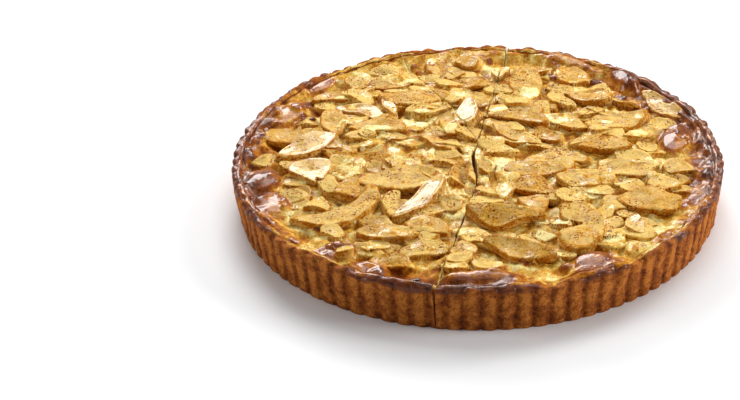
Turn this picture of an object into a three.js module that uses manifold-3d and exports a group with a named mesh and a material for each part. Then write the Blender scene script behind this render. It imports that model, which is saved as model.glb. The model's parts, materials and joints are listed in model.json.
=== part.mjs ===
// An apple tart, baked in a fluted case and cut into three portions that still lie together.
// The case holds a layer of compote, a baked custard, and apple slices half sunk in its top.
// Millimetres, +Z up. The origin is the centre of the underside, +Y points to the back
// and +X to the right.
import * as THREE from 'three';
import Module from 'manifold-3d';

const wasm = await Module();
wasm.setup();

// ---- Driving dimensions --------------------------------------------------------------

const GAP = 0.3;

// The pastry case.
const FOOT_RADIUS = 137;
const RIM_RADIUS = 140;
const RIM_HEIGHT = 27.2;
const RIM_WAVE = 1.1;
const RIM_BUMP = 30;
const RIM_FINE_WAVE = 0.5;
const RIM_FINE_BUMP = 9;
const RIM_ROUND = 1.9;
const CREST_RADIUS = 137.4;
const INNER_RIM_RADIUS = 134.4;
const INNER_FOOT_RADIUS = 131.2;
const BASE_THICKNESS = 4.4;
const FLUTES = 95;
const FLUTE_DEPTH = 1.1;
const CORNERS_PER_FLUTE = 3;

// Dips in the rim, where the custard has run over it or the crust has broken away.
const RIM_DIPS = [
  { at: [40, -131], reach: 7, drop: 3.4 },
  { at: [84, -106], reach: 9, drop: 2.2 },
  { at: [-104, -88], reach: 12, drop: 1.4 },
];

// The layers in it.
const COMPOTE_TOP = 12.6;
const COMPOTE_WAVE = 0.7;
const COMPOTE_BUMP = 26;
const CUSTARD_EDGE = 21.4;
const CUSTARD_CROWN = 1.8;
const CUSTARD_WAVE = 1.1;
const CUSTARD_BUMP = 34;
const MOST_BRIM_RISE = 2;
const SLICE_BED = 15.2;

// The apple slices: each is an arc of a peeled apple, thick outside and thin at the core.
// A station is a share of the half length, and the share of the full width there. What
// the neighbours and the custard hide makes a slice longer and wider than what shows.
const APPLE_RADIUS = 31;
const CORE_THINNESS = 0.42;
const END_THICKNESS = 0.6;
const BACK_ROUND = 0.22;
const SLICE_STATIONS = [[-1, 0.52], [-0.74, 0.92], [0, 1], [0.74, 0.92], [1, 0.52]];
const HIDDEN_LENGTH = 1.1;
const HIDDEN_WIDTH = 1.2;
const MOST_HALF_SINE = 0.98;
const LEAST_VOLUME = 260;

// The knife cuts, wider at the top than at the foot.
const CUT_FOOT = 0.4;
const CUT_FLOOR = -2;
const CUT_TOP = 40;
const CUT_MIDDLE = [-1.5, 4];
const CUT_LOW_MIDDLE = [0.5, -26];
const CUTS = [
  { from: [21.3, 145], to: CUT_MIDDLE, widths: [1.1, 1.5] },
  { from: CUT_MIDDLE, to: CUT_LOW_MIDDLE, widths: [1.6, 1.6] },
  { from: CUT_LOW_MIDDLE, to: [-23.2, -145], widths: [1.6, 1.5] },
  { from: [-54.5, 145], to: [1.2, 20], widths: [1.1, 0.7] },
];

// The spindle-shaped opening in the middle, where the first cut has pulled apart: its
// outline from the middle of that cut, and how wide it is at its foot and at its top.
const OPENING = [[0, 6], [-1, 0], [-0.9, -12], [1.4, -31], [1.3, -16], [1, -2]];
const OPENING_SLANT = -0.05;
const OPENING_FOOT = SLICE_BED + 1;
const OPENING_FOOT_SPREAD = 0.7;
const OPENING_TOP_SPREAD = 2.6;

// Rings of the top faces, as [radius, number of corners], from the wall inwards.
const COMPOTE_RINGS = [[108, 60], [78, 44], [48, 28], [20, 12]];
const CUSTARD_RINGS = [
  [126, 72], [114, 56], [100, 46], [85, 38], [69, 30], [52, 22], [34, 15], [15, 7],
];

// Blisters of baked skin: centre, half length, half width, turn in degrees and rise.
const BLISTERS = [
  { at: [-113, 52], half: [19, 12], turn: 60, rise: 5.2 },
  { at: [-121, -24], half: [15, 13], turn: 80, rise: 4.6 },
  { at: [-112, -49], half: [16, 11], turn: 110, rise: 3.6 },
  { at: [-74, -99], half: [14, 10], turn: 20, rise: 4.4 },
  { at: [-57, -114], half: [13, 8], turn: -10, rise: 4.0 },
  { at: [2, -124], half: [24, 7], turn: 0, rise: 5.0 },
  { at: [61, -108], half: [13, 11], turn: 30, rise: 4.4 },
  { at: [116, 22], half: [21, 11], turn: 80, rise: 4.6 },
  { at: [92, 98], half: [22, 11], turn: 100, rise: 7.0 },
  { at: [58, 121], half: [20, 10], turn: -25, rise: 6.0 },
  { at: [-96, 90], half: [14, 8], turn: 40, rise: 3.6 },
  { at: [103, -88], half: [13, 9], turn: 50, rise: 3.4 },
];

// Apple slices, the lowest first, with the sizes that show. `turn` is the way of the long
// side from +X, with the round back on its right, `lean` lifts the core side, `pitch` lifts
// the far end, and `lift` is the height of the middle over the custard.
const SLICES = [
  { at: [-88, 79], long: 28, wide: 12, thick: 7, turn: 5, lean: 6, pitch: 0, lift: 0.6 },
  { at: [-52, 98], long: 28, wide: 13, thick: 7, turn: 0, lean: 12, pitch: 0, lift: 0.4 },
  { at: [-26, 112], long: 36, wide: 15, thick: 7, turn: 110, lean: 8, pitch: 4, lift: 0.8 },
  { at: [-7, 122], long: 25, wide: 15, thick: 8, turn: 92, lean: -6, pitch: 6, lift: 1.2 },
  { at: [-3, 97], long: 24, wide: 11, thick: 7, turn: 4, lean: 18, pitch: 0, lift: 0.6 },
  { at: [-31, 60], long: 26, wide: 12, thick: 7, turn: 10, lean: 14, pitch: 0, lift: 0.8 },
  { at: [-66, 62], long: 34, wide: 13, thick: 7, turn: -28, lean: 5, pitch: 6, lift: 1.2 },
  { at: [-88, 43], long: 34, wide: 14, thick: 7, turn: 105, lean: 5, pitch: 0, lift: 0.8 },
  { at: [-109, 30], long: 34, wide: 20, thick: 7, turn: -20, lean: 4, pitch: 0, lift: 1.0 },
  { at: [-55, 42], long: 33, wide: 17, thick: 9, turn: -5, lean: 8, pitch: 2, lift: 1.6 },
  { at: [-38, 80], long: 47, wide: 18, thick: 8, turn: 2, lean: 7, pitch: 0, lift: 1.6 },
  { at: [-24, 14], long: 30, wide: 11, thick: 8, turn: 140, lean: 20, pitch: 0, lift: 0.6 },
  { at: [-17, 36], long: 24, wide: 10, thick: 8, turn: 112, lean: 12, pitch: 0, lift: 0.4 },
  { at: [-7, 52], long: 32, wide: 14, thick: 8, turn: 82, lean: -10, pitch: 4, lift: 1.6 },
  { at: [-62, 8], long: 46, wide: 12, thick: 9, turn: -8, lean: 24, pitch: 0, lift: 0.8 },
  { at: [-96, 9], long: 40, wide: 18, thick: 7, turn: 215, lean: 2, pitch: -4, lift: 1.8 },
  { at: [-92, -19], long: 32, wide: 22, thick: 7, turn: 205, lean: 2, pitch: -4, lift: 1.6 },
  { at: [-74, -36], long: 24, wide: 14, thick: 9, turn: 100, lean: 10, pitch: 0, lift: 0.6 },
  { at: [-79, -54], long: 55, wide: 14, thick: 9, turn: 34, lean: 4, pitch: 2, lift: 1.6 },
  { at: [-41, -19], long: 44, wide: 24, thick: 8, turn: -5, lean: 6, pitch: 0, lift: 1.8 },
  { at: [-12, -17], long: 28, wide: 11, thick: 8, turn: 78, lean: 38, pitch: 0, lift: 0.6 },
  { at: [-49, -48], long: 26, wide: 10, thick: 8, turn: 78, lean: 24, pitch: 0, lift: 0.4 },
  { at: [-22, -57], long: 26, wide: 14, thick: 7, turn: 250, lean: 10, pitch: 0, lift: 0.4 },
  { at: [-33, -44], long: 46, wide: 13, thick: 8, turn: 58, lean: -8, pitch: 5, lift: 2.0 },
  { at: [-29, -93], long: 28, wide: 13, thick: 7, turn: 14, lean: 14, pitch: 0, lift: 0.4 },
  { at: [-43, -106], long: 27, wide: 11, thick: 8, turn: -8, lean: 16, pitch: 0, lift: 0.6 },
  { at: [-25, -73], long: 29, wide: 16, thick: 8, turn: -24, lean: 10, pitch: 0, lift: 1.0 },
  { at: [-49, -78], long: 36, wide: 15, thick: 11, turn: -5, lean: 12, pitch: 2, lift: 1.6 },
  { at: [23, 91], long: 50, wide: 20, thick: 8, turn: 80, lean: 5, pitch: 3, lift: 1.4 },
  { at: [57, 101], long: 29, wide: 18, thick: 8, turn: 120, lean: 6, pitch: 0, lift: 1.0 },
  { at: [48, 71], long: 26, wide: 13, thick: 7, turn: 108, lean: 10, pitch: 0, lift: 0.6 },
  { at: [70, 74], long: 29, wide: 15, thick: 11, turn: -14, lean: 12, pitch: 2, lift: 1.4 },
  { at: [108, 60], long: 36, wide: 13, thick: 7, turn: 124, lean: -8, pitch: 0, lift: 1.0 },
  { at: [54, 46], long: 32, wide: 13, thick: 7, turn: -30, lean: 8, pitch: 0, lift: 0.8 },
  { at: [85, 50], long: 42, wide: 20, thick: 7, turn: 10, lean: 5, pitch: 2, lift: 1.2 },
  { at: [14, 28], long: 28, wide: 11, thick: 8, turn: 115, lean: 12, pitch: 0, lift: 0.6 },
  { at: [27, 22], long: 26, wide: 12, thick: 8, turn: -20, lean: 10, pitch: 0, lift: 1.0 },
  { at: [27, 49], long: 33, wide: 13, thick: 12, turn: -15, lean: 20, pitch: 2, lift: 1.6 },
  { at: [46, 5], long: 34, wide: 16, thick: 7, turn: 2, lean: 7, pitch: 0, lift: 0.8 },
  { at: [75, 17], long: 33, wide: 16, thick: 9, turn: -5, lean: 8, pitch: 0, lift: 1.4 },
  { at: [30, -9], long: 43, wide: 13, thick: 11, turn: -14, lean: 20, pitch: 0, lift: 1.4 },
  { at: [82, -8], long: 37, wide: 17, thick: 7, turn: -5, lean: 6, pitch: 0, lift: 1.0 },
  { at: [57, -24], long: 31, wide: 16, thick: 8, turn: -10, lean: 8, pitch: 0, lift: 1.2 },
  { at: [33, -29], long: 27, wide: 17, thick: 9, turn: -20, lean: 10, pitch: 0, lift: 1.0 },
  { at: [99, -42], long: 42, wide: 25, thick: 8, turn: -15, lean: 5, pitch: 0, lift: 1.6 },
  { at: [29, -50], long: 20, wide: 17, thick: 8, turn: 80, lean: 6, pitch: 0, lift: 0.8 },
  { at: [47, -75], long: 52, wide: 22, thick: 9, turn: 90, lean: 3, pitch: 0, lift: 1.6 },
  { at: [14, -88], long: 26, wide: 10, thick: 8, turn: -5, lean: 12, pitch: 0, lift: 0.4 },
  { at: [12, -73], long: 38, wide: 15, thick: 9, turn: 173, lean: -24, pitch: 0, lift: 2.4 },
  { at: [21, -103], long: 36, wide: 16, thick: 9, turn: 160, lean: -20, pitch: 0, lift: 1.8 },
];

// ---- Materials -----------------------------------------------------------------------

const PASTRY = { color: 0xa0642f, roughness: 0.72, metalness: 0 };
const COMPOTE = { color: 0x9a6733, roughness: 0.5, metalness: 0 };
const CUSTARD = { color: 0xe0b566, roughness: 0.34, metalness: 0 };
const APPLE = { color: 0xddaa58, roughness: 0.3, metalness: 0 };

// ---- Solids --------------------------------------------------------------------------

// A closed solid through rings of points. The rings run counter-clockwise, may differ in
// their number of points, and both ends are closed by a fan around their middle point.
function loft(rings) {
  const points = rings.flat();
  const first = rings[0];
  const last = rings[rings.length - 1];
  const faces = [];
  let start = 0;
  for (let k = 0; k + 1 < rings.length; k += 1) {
    faces.push(...strip(rings[k], rings[k + 1], start, start + rings[k].length));
    start += rings[k].length;
  }
  const nearEnd = points.length;
  const farEnd = nearEnd + 1;
  points.push(middleOf(first), middleOf(last));
  first.forEach((_, i) => faces.push(nearEnd, (i + 1) % first.length, i));
  last.forEach((_, i) => faces.push(farEnd, start + i, start + ((i + 1) % last.length)));
  const geometry = new THREE.BufferGeometry().setFromPoints(points);
  geometry.setIndex(faces);
  return solidOf(geometry);
}

// The triangles between two rings, `a` before `b`, whose corners are matched by their
// share of the way round. Equal shares go on along the wider ring first.
function strip(a, b, startA, startB) {
  const faces = [];
  const widerFirst = Math.hypot(a[0].x, a[0].y) >= Math.hypot(b[0].x, b[0].y);
  let i = 0;
  let j = 0;
  while (i < a.length || j < b.length) {
    const ahead = (i + 1) * b.length - (j + 1) * a.length;
    const alongA = j >= b.length || (i < a.length && (ahead < 0 || (ahead === 0 && widerFirst)));
    const corner = startB + (j % b.length);
    if (alongA) {
      faces.push(startA + i, startA + ((i + 1) % a.length), corner);
      i += 1;
    } else {
      faces.push(startA + (i % a.length), startB + ((j + 1) % b.length), corner);
      j += 1;
    }
  }
  return faces;
}

function middleOf(ring) {
  const sum = new THREE.Vector3();
  ring.forEach((point) => sum.add(point));
  return sum.divideScalar(ring.length);
}

function solidOf(geometry) {
  return new wasm.Manifold(new wasm.Mesh({
    numProp: 3,
    vertProperties: new Float32Array(geometry.attributes.position.array),
    triVerts: new Uint32Array(geometry.index.array),
  }));
}

function geometryOf(solid) {
  const { vertProperties, triVerts } = solid.getMesh();
  const geometry = new THREE.BufferGeometry();
  geometry.setAttribute('position', new THREE.BufferAttribute(vertProperties, 3));
  geometry.setIndex(new THREE.BufferAttribute(triVerts, 1));
  geometry.computeVertexNormals();
  return geometry;
}

function addMesh(parent, name, solid, finish) {
  const mesh = new THREE.Mesh(geometryOf(solid), new THREE.MeshStandardMaterial(finish));
  mesh.name = name;
  parent.add(mesh);
}

// ---- Heights of the baked surfaces ---------------------------------------------------

// A soft unevenness between -1 and 1, with bumps about `size` across.
function uneven(x, y, size) {
  const u = (x / size) * Math.PI;
  const v = (y / size) * Math.PI;
  const slow = Math.sin(0.9 * u + 0.4 * v + 1.3) * Math.cos(0.8 * v - 0.3 * u + 0.6);
  const fast = Math.sin(1.7 * v - 0.9 * u + 2.2) * Math.cos(1.6 * u + 0.7 * v);
  return 0.6 * slow + 0.4 * fast;
}

function blisterRise(blister, x, y) {
  const turn = THREE.MathUtils.degToRad(blister.turn);
  const dx = x - blister.at[0];
  const dy = y - blister.at[1];
  const along = (dx * Math.cos(turn) + dy * Math.sin(turn)) / blister.half[0];
  const across = (dy * Math.cos(turn) - dx * Math.sin(turn)) / blister.half[1];
  const rest = Math.max(0, 1 - along * along - across * across);
  return blister.rise * Math.sqrt(rest) * Math.min(1, 2 * rest);
}

function custardHeight(x, y) {
  const reach = Math.hypot(x, y) / INNER_RIM_RADIUS;
  const level = CUSTARD_EDGE + CUSTARD_CROWN * (1 - reach * reach);
  const bumps = BLISTERS.map((blister) => blisterRise(blister, x, y));
  return level + CUSTARD_WAVE * uneven(x, y, CUSTARD_BUMP) + Math.max(...bumps);
}

function compoteHeight(x, y) {
  return COMPOTE_TOP + COMPOTE_WAVE * uneven(x, y, COMPOTE_BUMP);
}

function rimHeight(x, y) {
  const broad = RIM_WAVE * uneven(x, y, RIM_BUMP);
  const fine = RIM_FINE_WAVE * uneven(x, y, RIM_FINE_BUMP);
  const dips = RIM_DIPS.map(({ at, reach, drop }) => (
    drop * Math.exp(-((Math.hypot(x - at[0], y - at[1]) / reach) ** 2))
  ));
  return RIM_HEIGHT + broad + fine - Math.max(...dips);
}

function innerRadius(z) {
  const share = (z - BASE_THICKNESS) / (RIM_HEIGHT - RIM_ROUND - BASE_THICKNESS);
  return THREE.MathUtils.lerp(INNER_FOOT_RADIUS, INNER_RIM_RADIUS, share);
}

// ---- Pastry case ---------------------------------------------------------------------

// A ring of `count` corners, where `radius` and `height` may follow the place.
function ring(count, radius, height) {
  return Array.from({ length: count }, (_, i) => {
    const angle = (2 * Math.PI * i) / count;
    const reach = typeof radius === 'function' ? radius(i) : radius;
    const x = reach * Math.cos(angle);
    const y = reach * Math.sin(angle);
    return new THREE.Vector3(x, y, typeof height === 'function' ? height(x, y) : height);
  });
}

// A flute has one corner in its groove, and the others on its broad ridge.
function fluted(radius) {
  return (i) => (i % CORNERS_PER_FLUTE === 0 ? radius - FLUTE_DEPTH : radius);
}

function pastryCase() {
  const corners = CORNERS_PER_FLUTE * FLUTES;
  const belowCrest = (x, y) => rimHeight(x, y) - RIM_ROUND;
  return loft([
    ring(corners, fluted(FOOT_RADIUS), 0),
    ring(corners, fluted(RIM_RADIUS), belowCrest),
    ring(FLUTES, CREST_RADIUS, rimHeight),
    ring(FLUTES, INNER_RIM_RADIUS, belowCrest),
    ring(FLUTES, INNER_FOOT_RADIUS, BASE_THICKNESS),
  ]);
}

// ---- Compote and custard -------------------------------------------------------------

function wallRing(z) {
  return ring(FLUTES, innerRadius(z) - GAP, z);
}

function compoteLayer() {
  const face = COMPOTE_RINGS.map(([radius, count]) => ring(count, radius, compoteHeight));
  return loft([wallRing(BASE_THICKNESS + GAP), wallRing(COMPOTE_TOP), ...face]);
}

function custardLayer() {
  const overCompote = (x, y) => compoteHeight(x, y) + GAP;
  const under = COMPOTE_RINGS.map(([radius, count]) => ring(count, radius, overCompote));
  const face = CUSTARD_RINGS.map(([radius, count]) => ring(count, radius, custardHeight));
  const most = CUSTARD_EDGE + MOST_BRIM_RISE;
  const edge = innerRadius(CUSTARD_EDGE) - GAP;
  const brim = ring(FLUTES, edge, (x, y) => Math.min(custardHeight(x, y), most));
  return loft([...under.reverse(), wallRing(COMPOTE_TOP + GAP), brim, ...face]);
}

// ---- Apple slices --------------------------------------------------------------------

// One cross section at `station`, from -1 to 1 along the slice, larger by `grow` all round.
function sliceSection(slice, [station, fullness], halfAngle, grow) {
  const angle = station * (halfAngle + grow / APPLE_RADIUS);
  const wide = slice.wide * HIDDEN_WIDTH * fullness;
  const thick = slice.thick * THREE.MathUtils.lerp(END_THICKNESS, 1, fullness);
  const back = thick / 2 + grow;
  const core = back * CORE_THINNESS + grow;
  const outer = APPLE_RADIUS + grow;
  const shoulder = outer - BACK_ROUND * wide;
  const inner = APPLE_RADIUS - wide - grow;
  const sag = APPLE_RADIUS * (1 - Math.cos(halfAngle));
  const centre = APPLE_RADIUS - (slice.wide + sag) / 2;
  const corners = [[inner, -core], [inner, core], [shoulder, back], [outer, 0], [shoulder, -back]];
  return corners.map(([reach, z]) => new THREE.Vector3(
    reach * Math.sin(angle),
    centre - reach * Math.cos(angle),
    z,
  ));
}

// The room for the slices: inside the wall of the case, from their bed upwards.
function sliceRoom(grow) {
  const bed = SLICE_BED - grow;
  return loft([
    ring(FLUTES, innerRadius(bed) - GAP + grow, bed),
    ring(FLUTES, innerRadius(bed) - GAP + grow, CUT_TOP),
  ]);
}

function sliceSolid(slice, grow) {
  const { degToRad } = THREE.MathUtils;
  const halfSine = (slice.long * HIDDEN_LENGTH) / 2 / APPLE_RADIUS;
  const halfAngle = Math.asin(Math.min(MOST_HALF_SINE, halfSine));
  const [x, y] = slice.at;
  const place = new THREE.Matrix4()
    .makeRotationZ(degToRad(slice.turn))
    .multiply(new THREE.Matrix4().makeRotationY(-degToRad(slice.pitch)))
    .multiply(new THREE.Matrix4().makeRotationX(degToRad(slice.lean)))
    .setPosition(x, y, custardHeight(x, y) + slice.lift);
  const sections = SLICE_STATIONS.map((station) => (
    sliceSection(slice, station, halfAngle, grow).map((point) => point.applyMatrix4(place))
  ));
  return loft(sections).intersect(sliceRoom(grow));
}

// Every slice gives way to the ones that lie over it.
function settledSlices() {
  return SLICES.map((slice, i) => (
    SLICES.slice(i + 1).reduce(
      (rest, upper) => rest.subtract(sliceSolid(upper, GAP)),
      sliceSolid(slice, 0),
    )
  ));
}

// ---- Knife cuts ----------------------------------------------------------------------

// A wedge-shaped cut along a line, with its widths at the top of the two ends.
function cutAlong({ from, to, widths }) {
  const start = new THREE.Vector2(...from);
  const end = new THREE.Vector2(...to);
  const way = end.clone().sub(start).normalize();
  const side = new THREE.Vector2(-way.y, way.x);
  const corner = (point, ahead, reach, z) => new THREE.Vector3(
    point.x + way.x * ahead + side.x * reach,
    point.y + way.y * ahead + side.y * reach,
    z,
  );
  const outline = (z, wideFrom, wideTo) => [
    corner(start, -CUT_FOOT, -wideFrom / 2, z),
    corner(end, CUT_FOOT, -wideTo / 2, z),
    corner(end, CUT_FOOT, wideTo / 2, z),
    corner(start, -CUT_FOOT, wideFrom / 2, z),
  ];
  return loft([
    outline(CUT_FLOOR, CUT_FOOT, CUT_FOOT),
    outline(CUT_TOP, ...widths),
  ]);
}

function cutOpening() {
  const [x, y] = CUT_MIDDLE;
  const outline = (z, spread) => OPENING.map(([dx, dy]) => (
    new THREE.Vector3(x + dx * spread + dy * OPENING_SLANT, y + dy, z)
  ));
  return loft([
    outline(OPENING_FOOT, OPENING_FOOT_SPREAD),
    outline(CUT_TOP, OPENING_TOP_SPREAD),
  ]);
}

function knifeCuts() {
  return CUTS.reduce((all, cut) => all.add(cutAlong(cut)), cutOpening());
}

// ---- The whole tart ------------------------------------------------------------------

// The name of the portion that a solid belongs to, by its box. The narrow one is the only
// one that lies wholly at the back.
function portionOf(solid) {
  const { min, max } = solid.boundingBox();
  if (min[1] > -RIM_RADIUS / 4) return 'narrow';
  return min[0] + max[0] < 0 ? 'left' : 'right';
}

function addPortions(parent, name, solid, finish) {
  solid.decompose()
    .filter((piece) => piece.volume() > LEAST_VOLUME)
    .forEach((piece) => addMesh(parent, `${name}_${portionOf(piece)}`, piece, finish));
}

function buildTart() {
  const tart = new THREE.Group();
  const cuts = knifeCuts();
  const pockets = SLICES.map((slice) => sliceSolid(slice, GAP));
  const custard = pockets.reduce((rest, pocket) => rest.subtract(pocket), custardLayer());
  addPortions(tart, 'pastry_case', pastryCase().subtract(cuts), PASTRY);
  addPortions(tart, 'compote', compoteLayer().subtract(cuts), COMPOTE);
  addPortions(tart, 'custard', custard.subtract(cuts), CUSTARD);
  settledSlices()
    .flatMap((slice) => slice.subtract(cuts).decompose())
    .filter((piece) => piece.volume() > LEAST_VOLUME)
    .forEach((piece, i) => {
      addMesh(tart, `apple_slice_${String(i + 1).padStart(2, '0')}`, piece, APPLE);
    });
  return tart;
}

export default buildTart();
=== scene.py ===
"""Looks of a whole apple tart: fluted case, glazed custard, apple slices, and the studio.

Every length is in metres, apart from what is listed one by one (slices, bits, blisters, pale
patches, dips and knife cuts), which is in millimetres. The frame gives the solids; this
script dresses them: the case, the custard and each apple slice get a finely modelled
piece in their place, small apple pieces fill the custard between the slices, and every
surface gets a procedural finish.
"""

import json
import logging
import math
from dataclasses import dataclass, field
from enum import Enum

import bpy
import numpy as np
from mathutils import Matrix, Vector
from mathutils.bvhtree import BVHTree

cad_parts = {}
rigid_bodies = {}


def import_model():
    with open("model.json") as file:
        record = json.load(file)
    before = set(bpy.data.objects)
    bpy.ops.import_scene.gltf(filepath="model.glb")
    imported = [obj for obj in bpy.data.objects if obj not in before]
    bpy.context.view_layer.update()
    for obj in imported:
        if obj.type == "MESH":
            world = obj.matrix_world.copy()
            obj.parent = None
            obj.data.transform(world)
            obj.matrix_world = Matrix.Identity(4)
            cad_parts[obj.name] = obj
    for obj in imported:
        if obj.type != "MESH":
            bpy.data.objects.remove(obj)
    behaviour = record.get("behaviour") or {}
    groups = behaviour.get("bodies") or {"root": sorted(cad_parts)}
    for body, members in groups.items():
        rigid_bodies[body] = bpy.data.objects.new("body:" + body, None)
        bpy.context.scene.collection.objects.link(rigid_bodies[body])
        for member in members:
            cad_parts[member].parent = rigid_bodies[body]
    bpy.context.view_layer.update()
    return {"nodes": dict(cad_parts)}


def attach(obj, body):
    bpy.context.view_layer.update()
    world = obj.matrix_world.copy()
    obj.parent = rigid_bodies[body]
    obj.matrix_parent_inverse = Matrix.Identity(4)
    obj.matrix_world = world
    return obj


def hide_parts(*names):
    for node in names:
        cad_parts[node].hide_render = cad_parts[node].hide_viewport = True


LOG = logging.getLogger("tart")
MM = 0.001
OVERHEAD = 60 * MM
BODY = "root"

Array = np.ndarray
Color = tuple[float, float, float]
Span = tuple[float, ...]
Piece = bpy.types.Object


class Side(Enum):
    """The portions that the knife cuts part the tart into."""

    LEFT = "left"
    NARROW = "narrow"
    RIGHT = "right"


class Slot(Enum):
    """The record's material slots."""

    PASTRY = "pastry"
    COMPOTE = "compote"
    CUSTARD = "custard"
    APPLE = "apple"


# ---- Small tools ---------------------------------------------------------------------


def srgb(red: int, green: int, blue: int) -> Color:
    """Turns display values from 0 to 255 into linear ones."""
    shares = (red / 255, green / 255, blue / 255)
    return tuple(s / 12.92 if s <= 0.04045 else ((s + 0.055) / 1.055) ** 2.4 for s in shares)


def smoothstep(low: float, high: float, value: Array) -> Array:
    """A share for each value that rises softly from 0 at low to 1 at high."""
    share = np.clip((value - low) / (high - low), 0, 1)
    return share * share * (3 - 2 * share)


def bell(angle: Array, middle: float, half: float) -> Array:
    """A share around a direction in degrees, 1 in its middle and softly down to 0."""
    away = (angle - middle + 180) % 360 - 180
    return np.exp(-((away / half) ** 2))


def uneven(x: Array, y: Array, size: float) -> Array:
    """A soft unevenness between -1 and 1, the same as the solids have.

    Args:
        x: Places along X.
        y: Places along Y.
        size: How far its bumps are apart.

    Returns:
        The unevenness at each place.
    """
    u = x / size * math.pi
    v = y / size * math.pi
    slow = np.sin(0.9 * u + 0.4 * v + 1.3) * np.cos(0.8 * v - 0.3 * u + 0.6)
    fast = np.sin(1.7 * v - 0.9 * u + 2.2) * np.cos(1.6 * u + 0.7 * v)
    return 0.6 * slow + 0.4 * fast


class Ripple:
    """Seeded unevenness of many crossing waves, without a repeating pattern."""

    def __init__(self, size: float, seed: int, waves: int = 28) -> None:
        """Draws the waves.

        Args:
            size: The usual width of a bump.
            seed: The seed of the draw.
            waves: How many waves cross.
        """
        rng = np.random.default_rng(seed)
        way = rng.normal(size=(waves, 3))
        way /= np.linalg.norm(way, axis=1, keepdims=True)
        length = size * rng.uniform(1.3, 3.4, waves)
        self.ways = way * (2 * math.pi / length)[:, None]
        self.phases = rng.uniform(0, 2 * math.pi, waves)

    def at(self, points: Array) -> Array:
        """The unevenness at each row of x, y, z, mostly between -1 and 1."""
        waves = np.sin(points @ self.ways.T + self.phases)
        return waves.sum(axis=1) / math.sqrt(len(self.phases) * 1.2)


def deselect_all() -> None:
    """Leaves edit mode and selects nothing."""
    if bpy.context.object and bpy.context.object.mode != "OBJECT":
        bpy.ops.object.mode_set(mode="OBJECT")
    bpy.ops.object.select_all(action="DESELECT")


def activate(piece: Piece) -> None:
    """Selects one piece alone and makes it the active one.

    Args:
        piece: The piece to work on.
    """
    deselect_all()
    piece.select_set(True)
    bpy.context.view_layer.objects.active = piece


def apply_modifier(piece: Piece, kind: str, **settings: object) -> None:
    """Adds a modifier to a piece and applies it.

    Args:
        piece: The piece that changes.
        kind: The modifier's type.
        **settings: Values for its properties.
    """
    activate(piece)
    modifier = piece.modifiers.new(kind.title(), kind)
    for key, value in settings.items():
        setattr(modifier, key, value)
    bpy.ops.object.modifier_apply(modifier=modifier.name)


def coords(piece: Piece) -> Array:
    """The places of a mesh's corners.

    Args:
        piece: A mesh piece.

    Returns:
        Rows of x, y, z.
    """
    flat = np.empty(len(piece.data.vertices) * 3)
    piece.data.vertices.foreach_get("co", flat)
    return flat.reshape(-1, 3)


def set_coords(piece: Piece, points: Array) -> None:
    """Moves a mesh's corners to rows of x, y, z."""
    piece.data.vertices.foreach_set("co", points.ravel())
    piece.data.update()


def facing_up(piece: Piece) -> Array:
    """How far each corner of a mesh faces up, from -1 to 1.

    Args:
        piece: A mesh piece.

    Returns:
        One value for each corner.
    """
    flat = np.empty(len(piece.data.vertices) * 3)
    piece.data.vertex_normals.foreach_get("vector", flat)
    return flat[2::3]


def paint(piece: Piece, name: str, values: Array) -> None:
    """Stores one value for each corner, which the finishes read.

    Args:
        piece: A mesh piece.
        name: The attribute's name.
        values: One value for each corner.
    """
    mesh = piece.data
    layer = mesh.attributes.get(name) or mesh.attributes.new(name, "FLOAT", "POINT")
    layer.data.foreach_set("value", np.ascontiguousarray(values, dtype=np.float32))


def shade_smooth(piece: Piece) -> None:
    """Shades a mesh piece smooth."""
    activate(piece)
    bpy.ops.object.shade_smooth()


def baked_noise(name: str, size: float, depth: int) -> bpy.types.Texture:
    """A cloud texture for displacing a crust or a skin.

    Args:
        name: The texture's name.
        size: The width of its clouds.
        depth: How many finer layers it has.

    Returns:
        The texture.
    """
    texture = bpy.data.textures.new(name, "CLOUDS")
    texture.noise_scale = size
    texture.noise_depth = depth
    texture.noise_basis = "IMPROVED_PERLIN"
    return texture


def displace(piece: Piece, texture: bpy.types.Texture, strength: float) -> None:
    """Displaces a piece along its normals, by a texture of which strength is the height."""
    settings = {"texture": texture, "texture_coords": "LOCAL", "mid_level": 0.5}
    apply_modifier(piece, "DISPLACE", strength=strength, **settings)


# ---- Shared sizes --------------------------------------------------------------------


@dataclass(frozen=True)
class Blister:
    """A blister of baked skin in the custard."""

    at: tuple[float, float]
    half: tuple[float, float]
    turn: float
    rise: float
    tone: float = 0.8

    def rise_at(self, x: Array, y: Array) -> Array:
        """How far the blister stands over the custard at each place."""
        rest = self.rest_at(x, y)
        return self.rise * MM * np.sqrt(rest) * np.minimum(1, 2 * rest)

    def rest_at(self, x: Array, y: Array) -> Array:
        """The share of the blister's reach that is left, 1 in its middle and 0 outside.

        Args:
            x: Places along X.
            y: Places along Y.

        Returns:
            The share at each place.
        """
        turn = math.radians(self.turn)
        dx = x / MM - self.at[0]
        dy = y / MM - self.at[1]
        along = (dx * math.cos(turn) + dy * math.sin(turn)) / self.half[0]
        across = (dy * math.cos(turn) - dx * math.sin(turn)) / self.half[1]
        return np.maximum(0, 1 - along * along - across * across)


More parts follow.
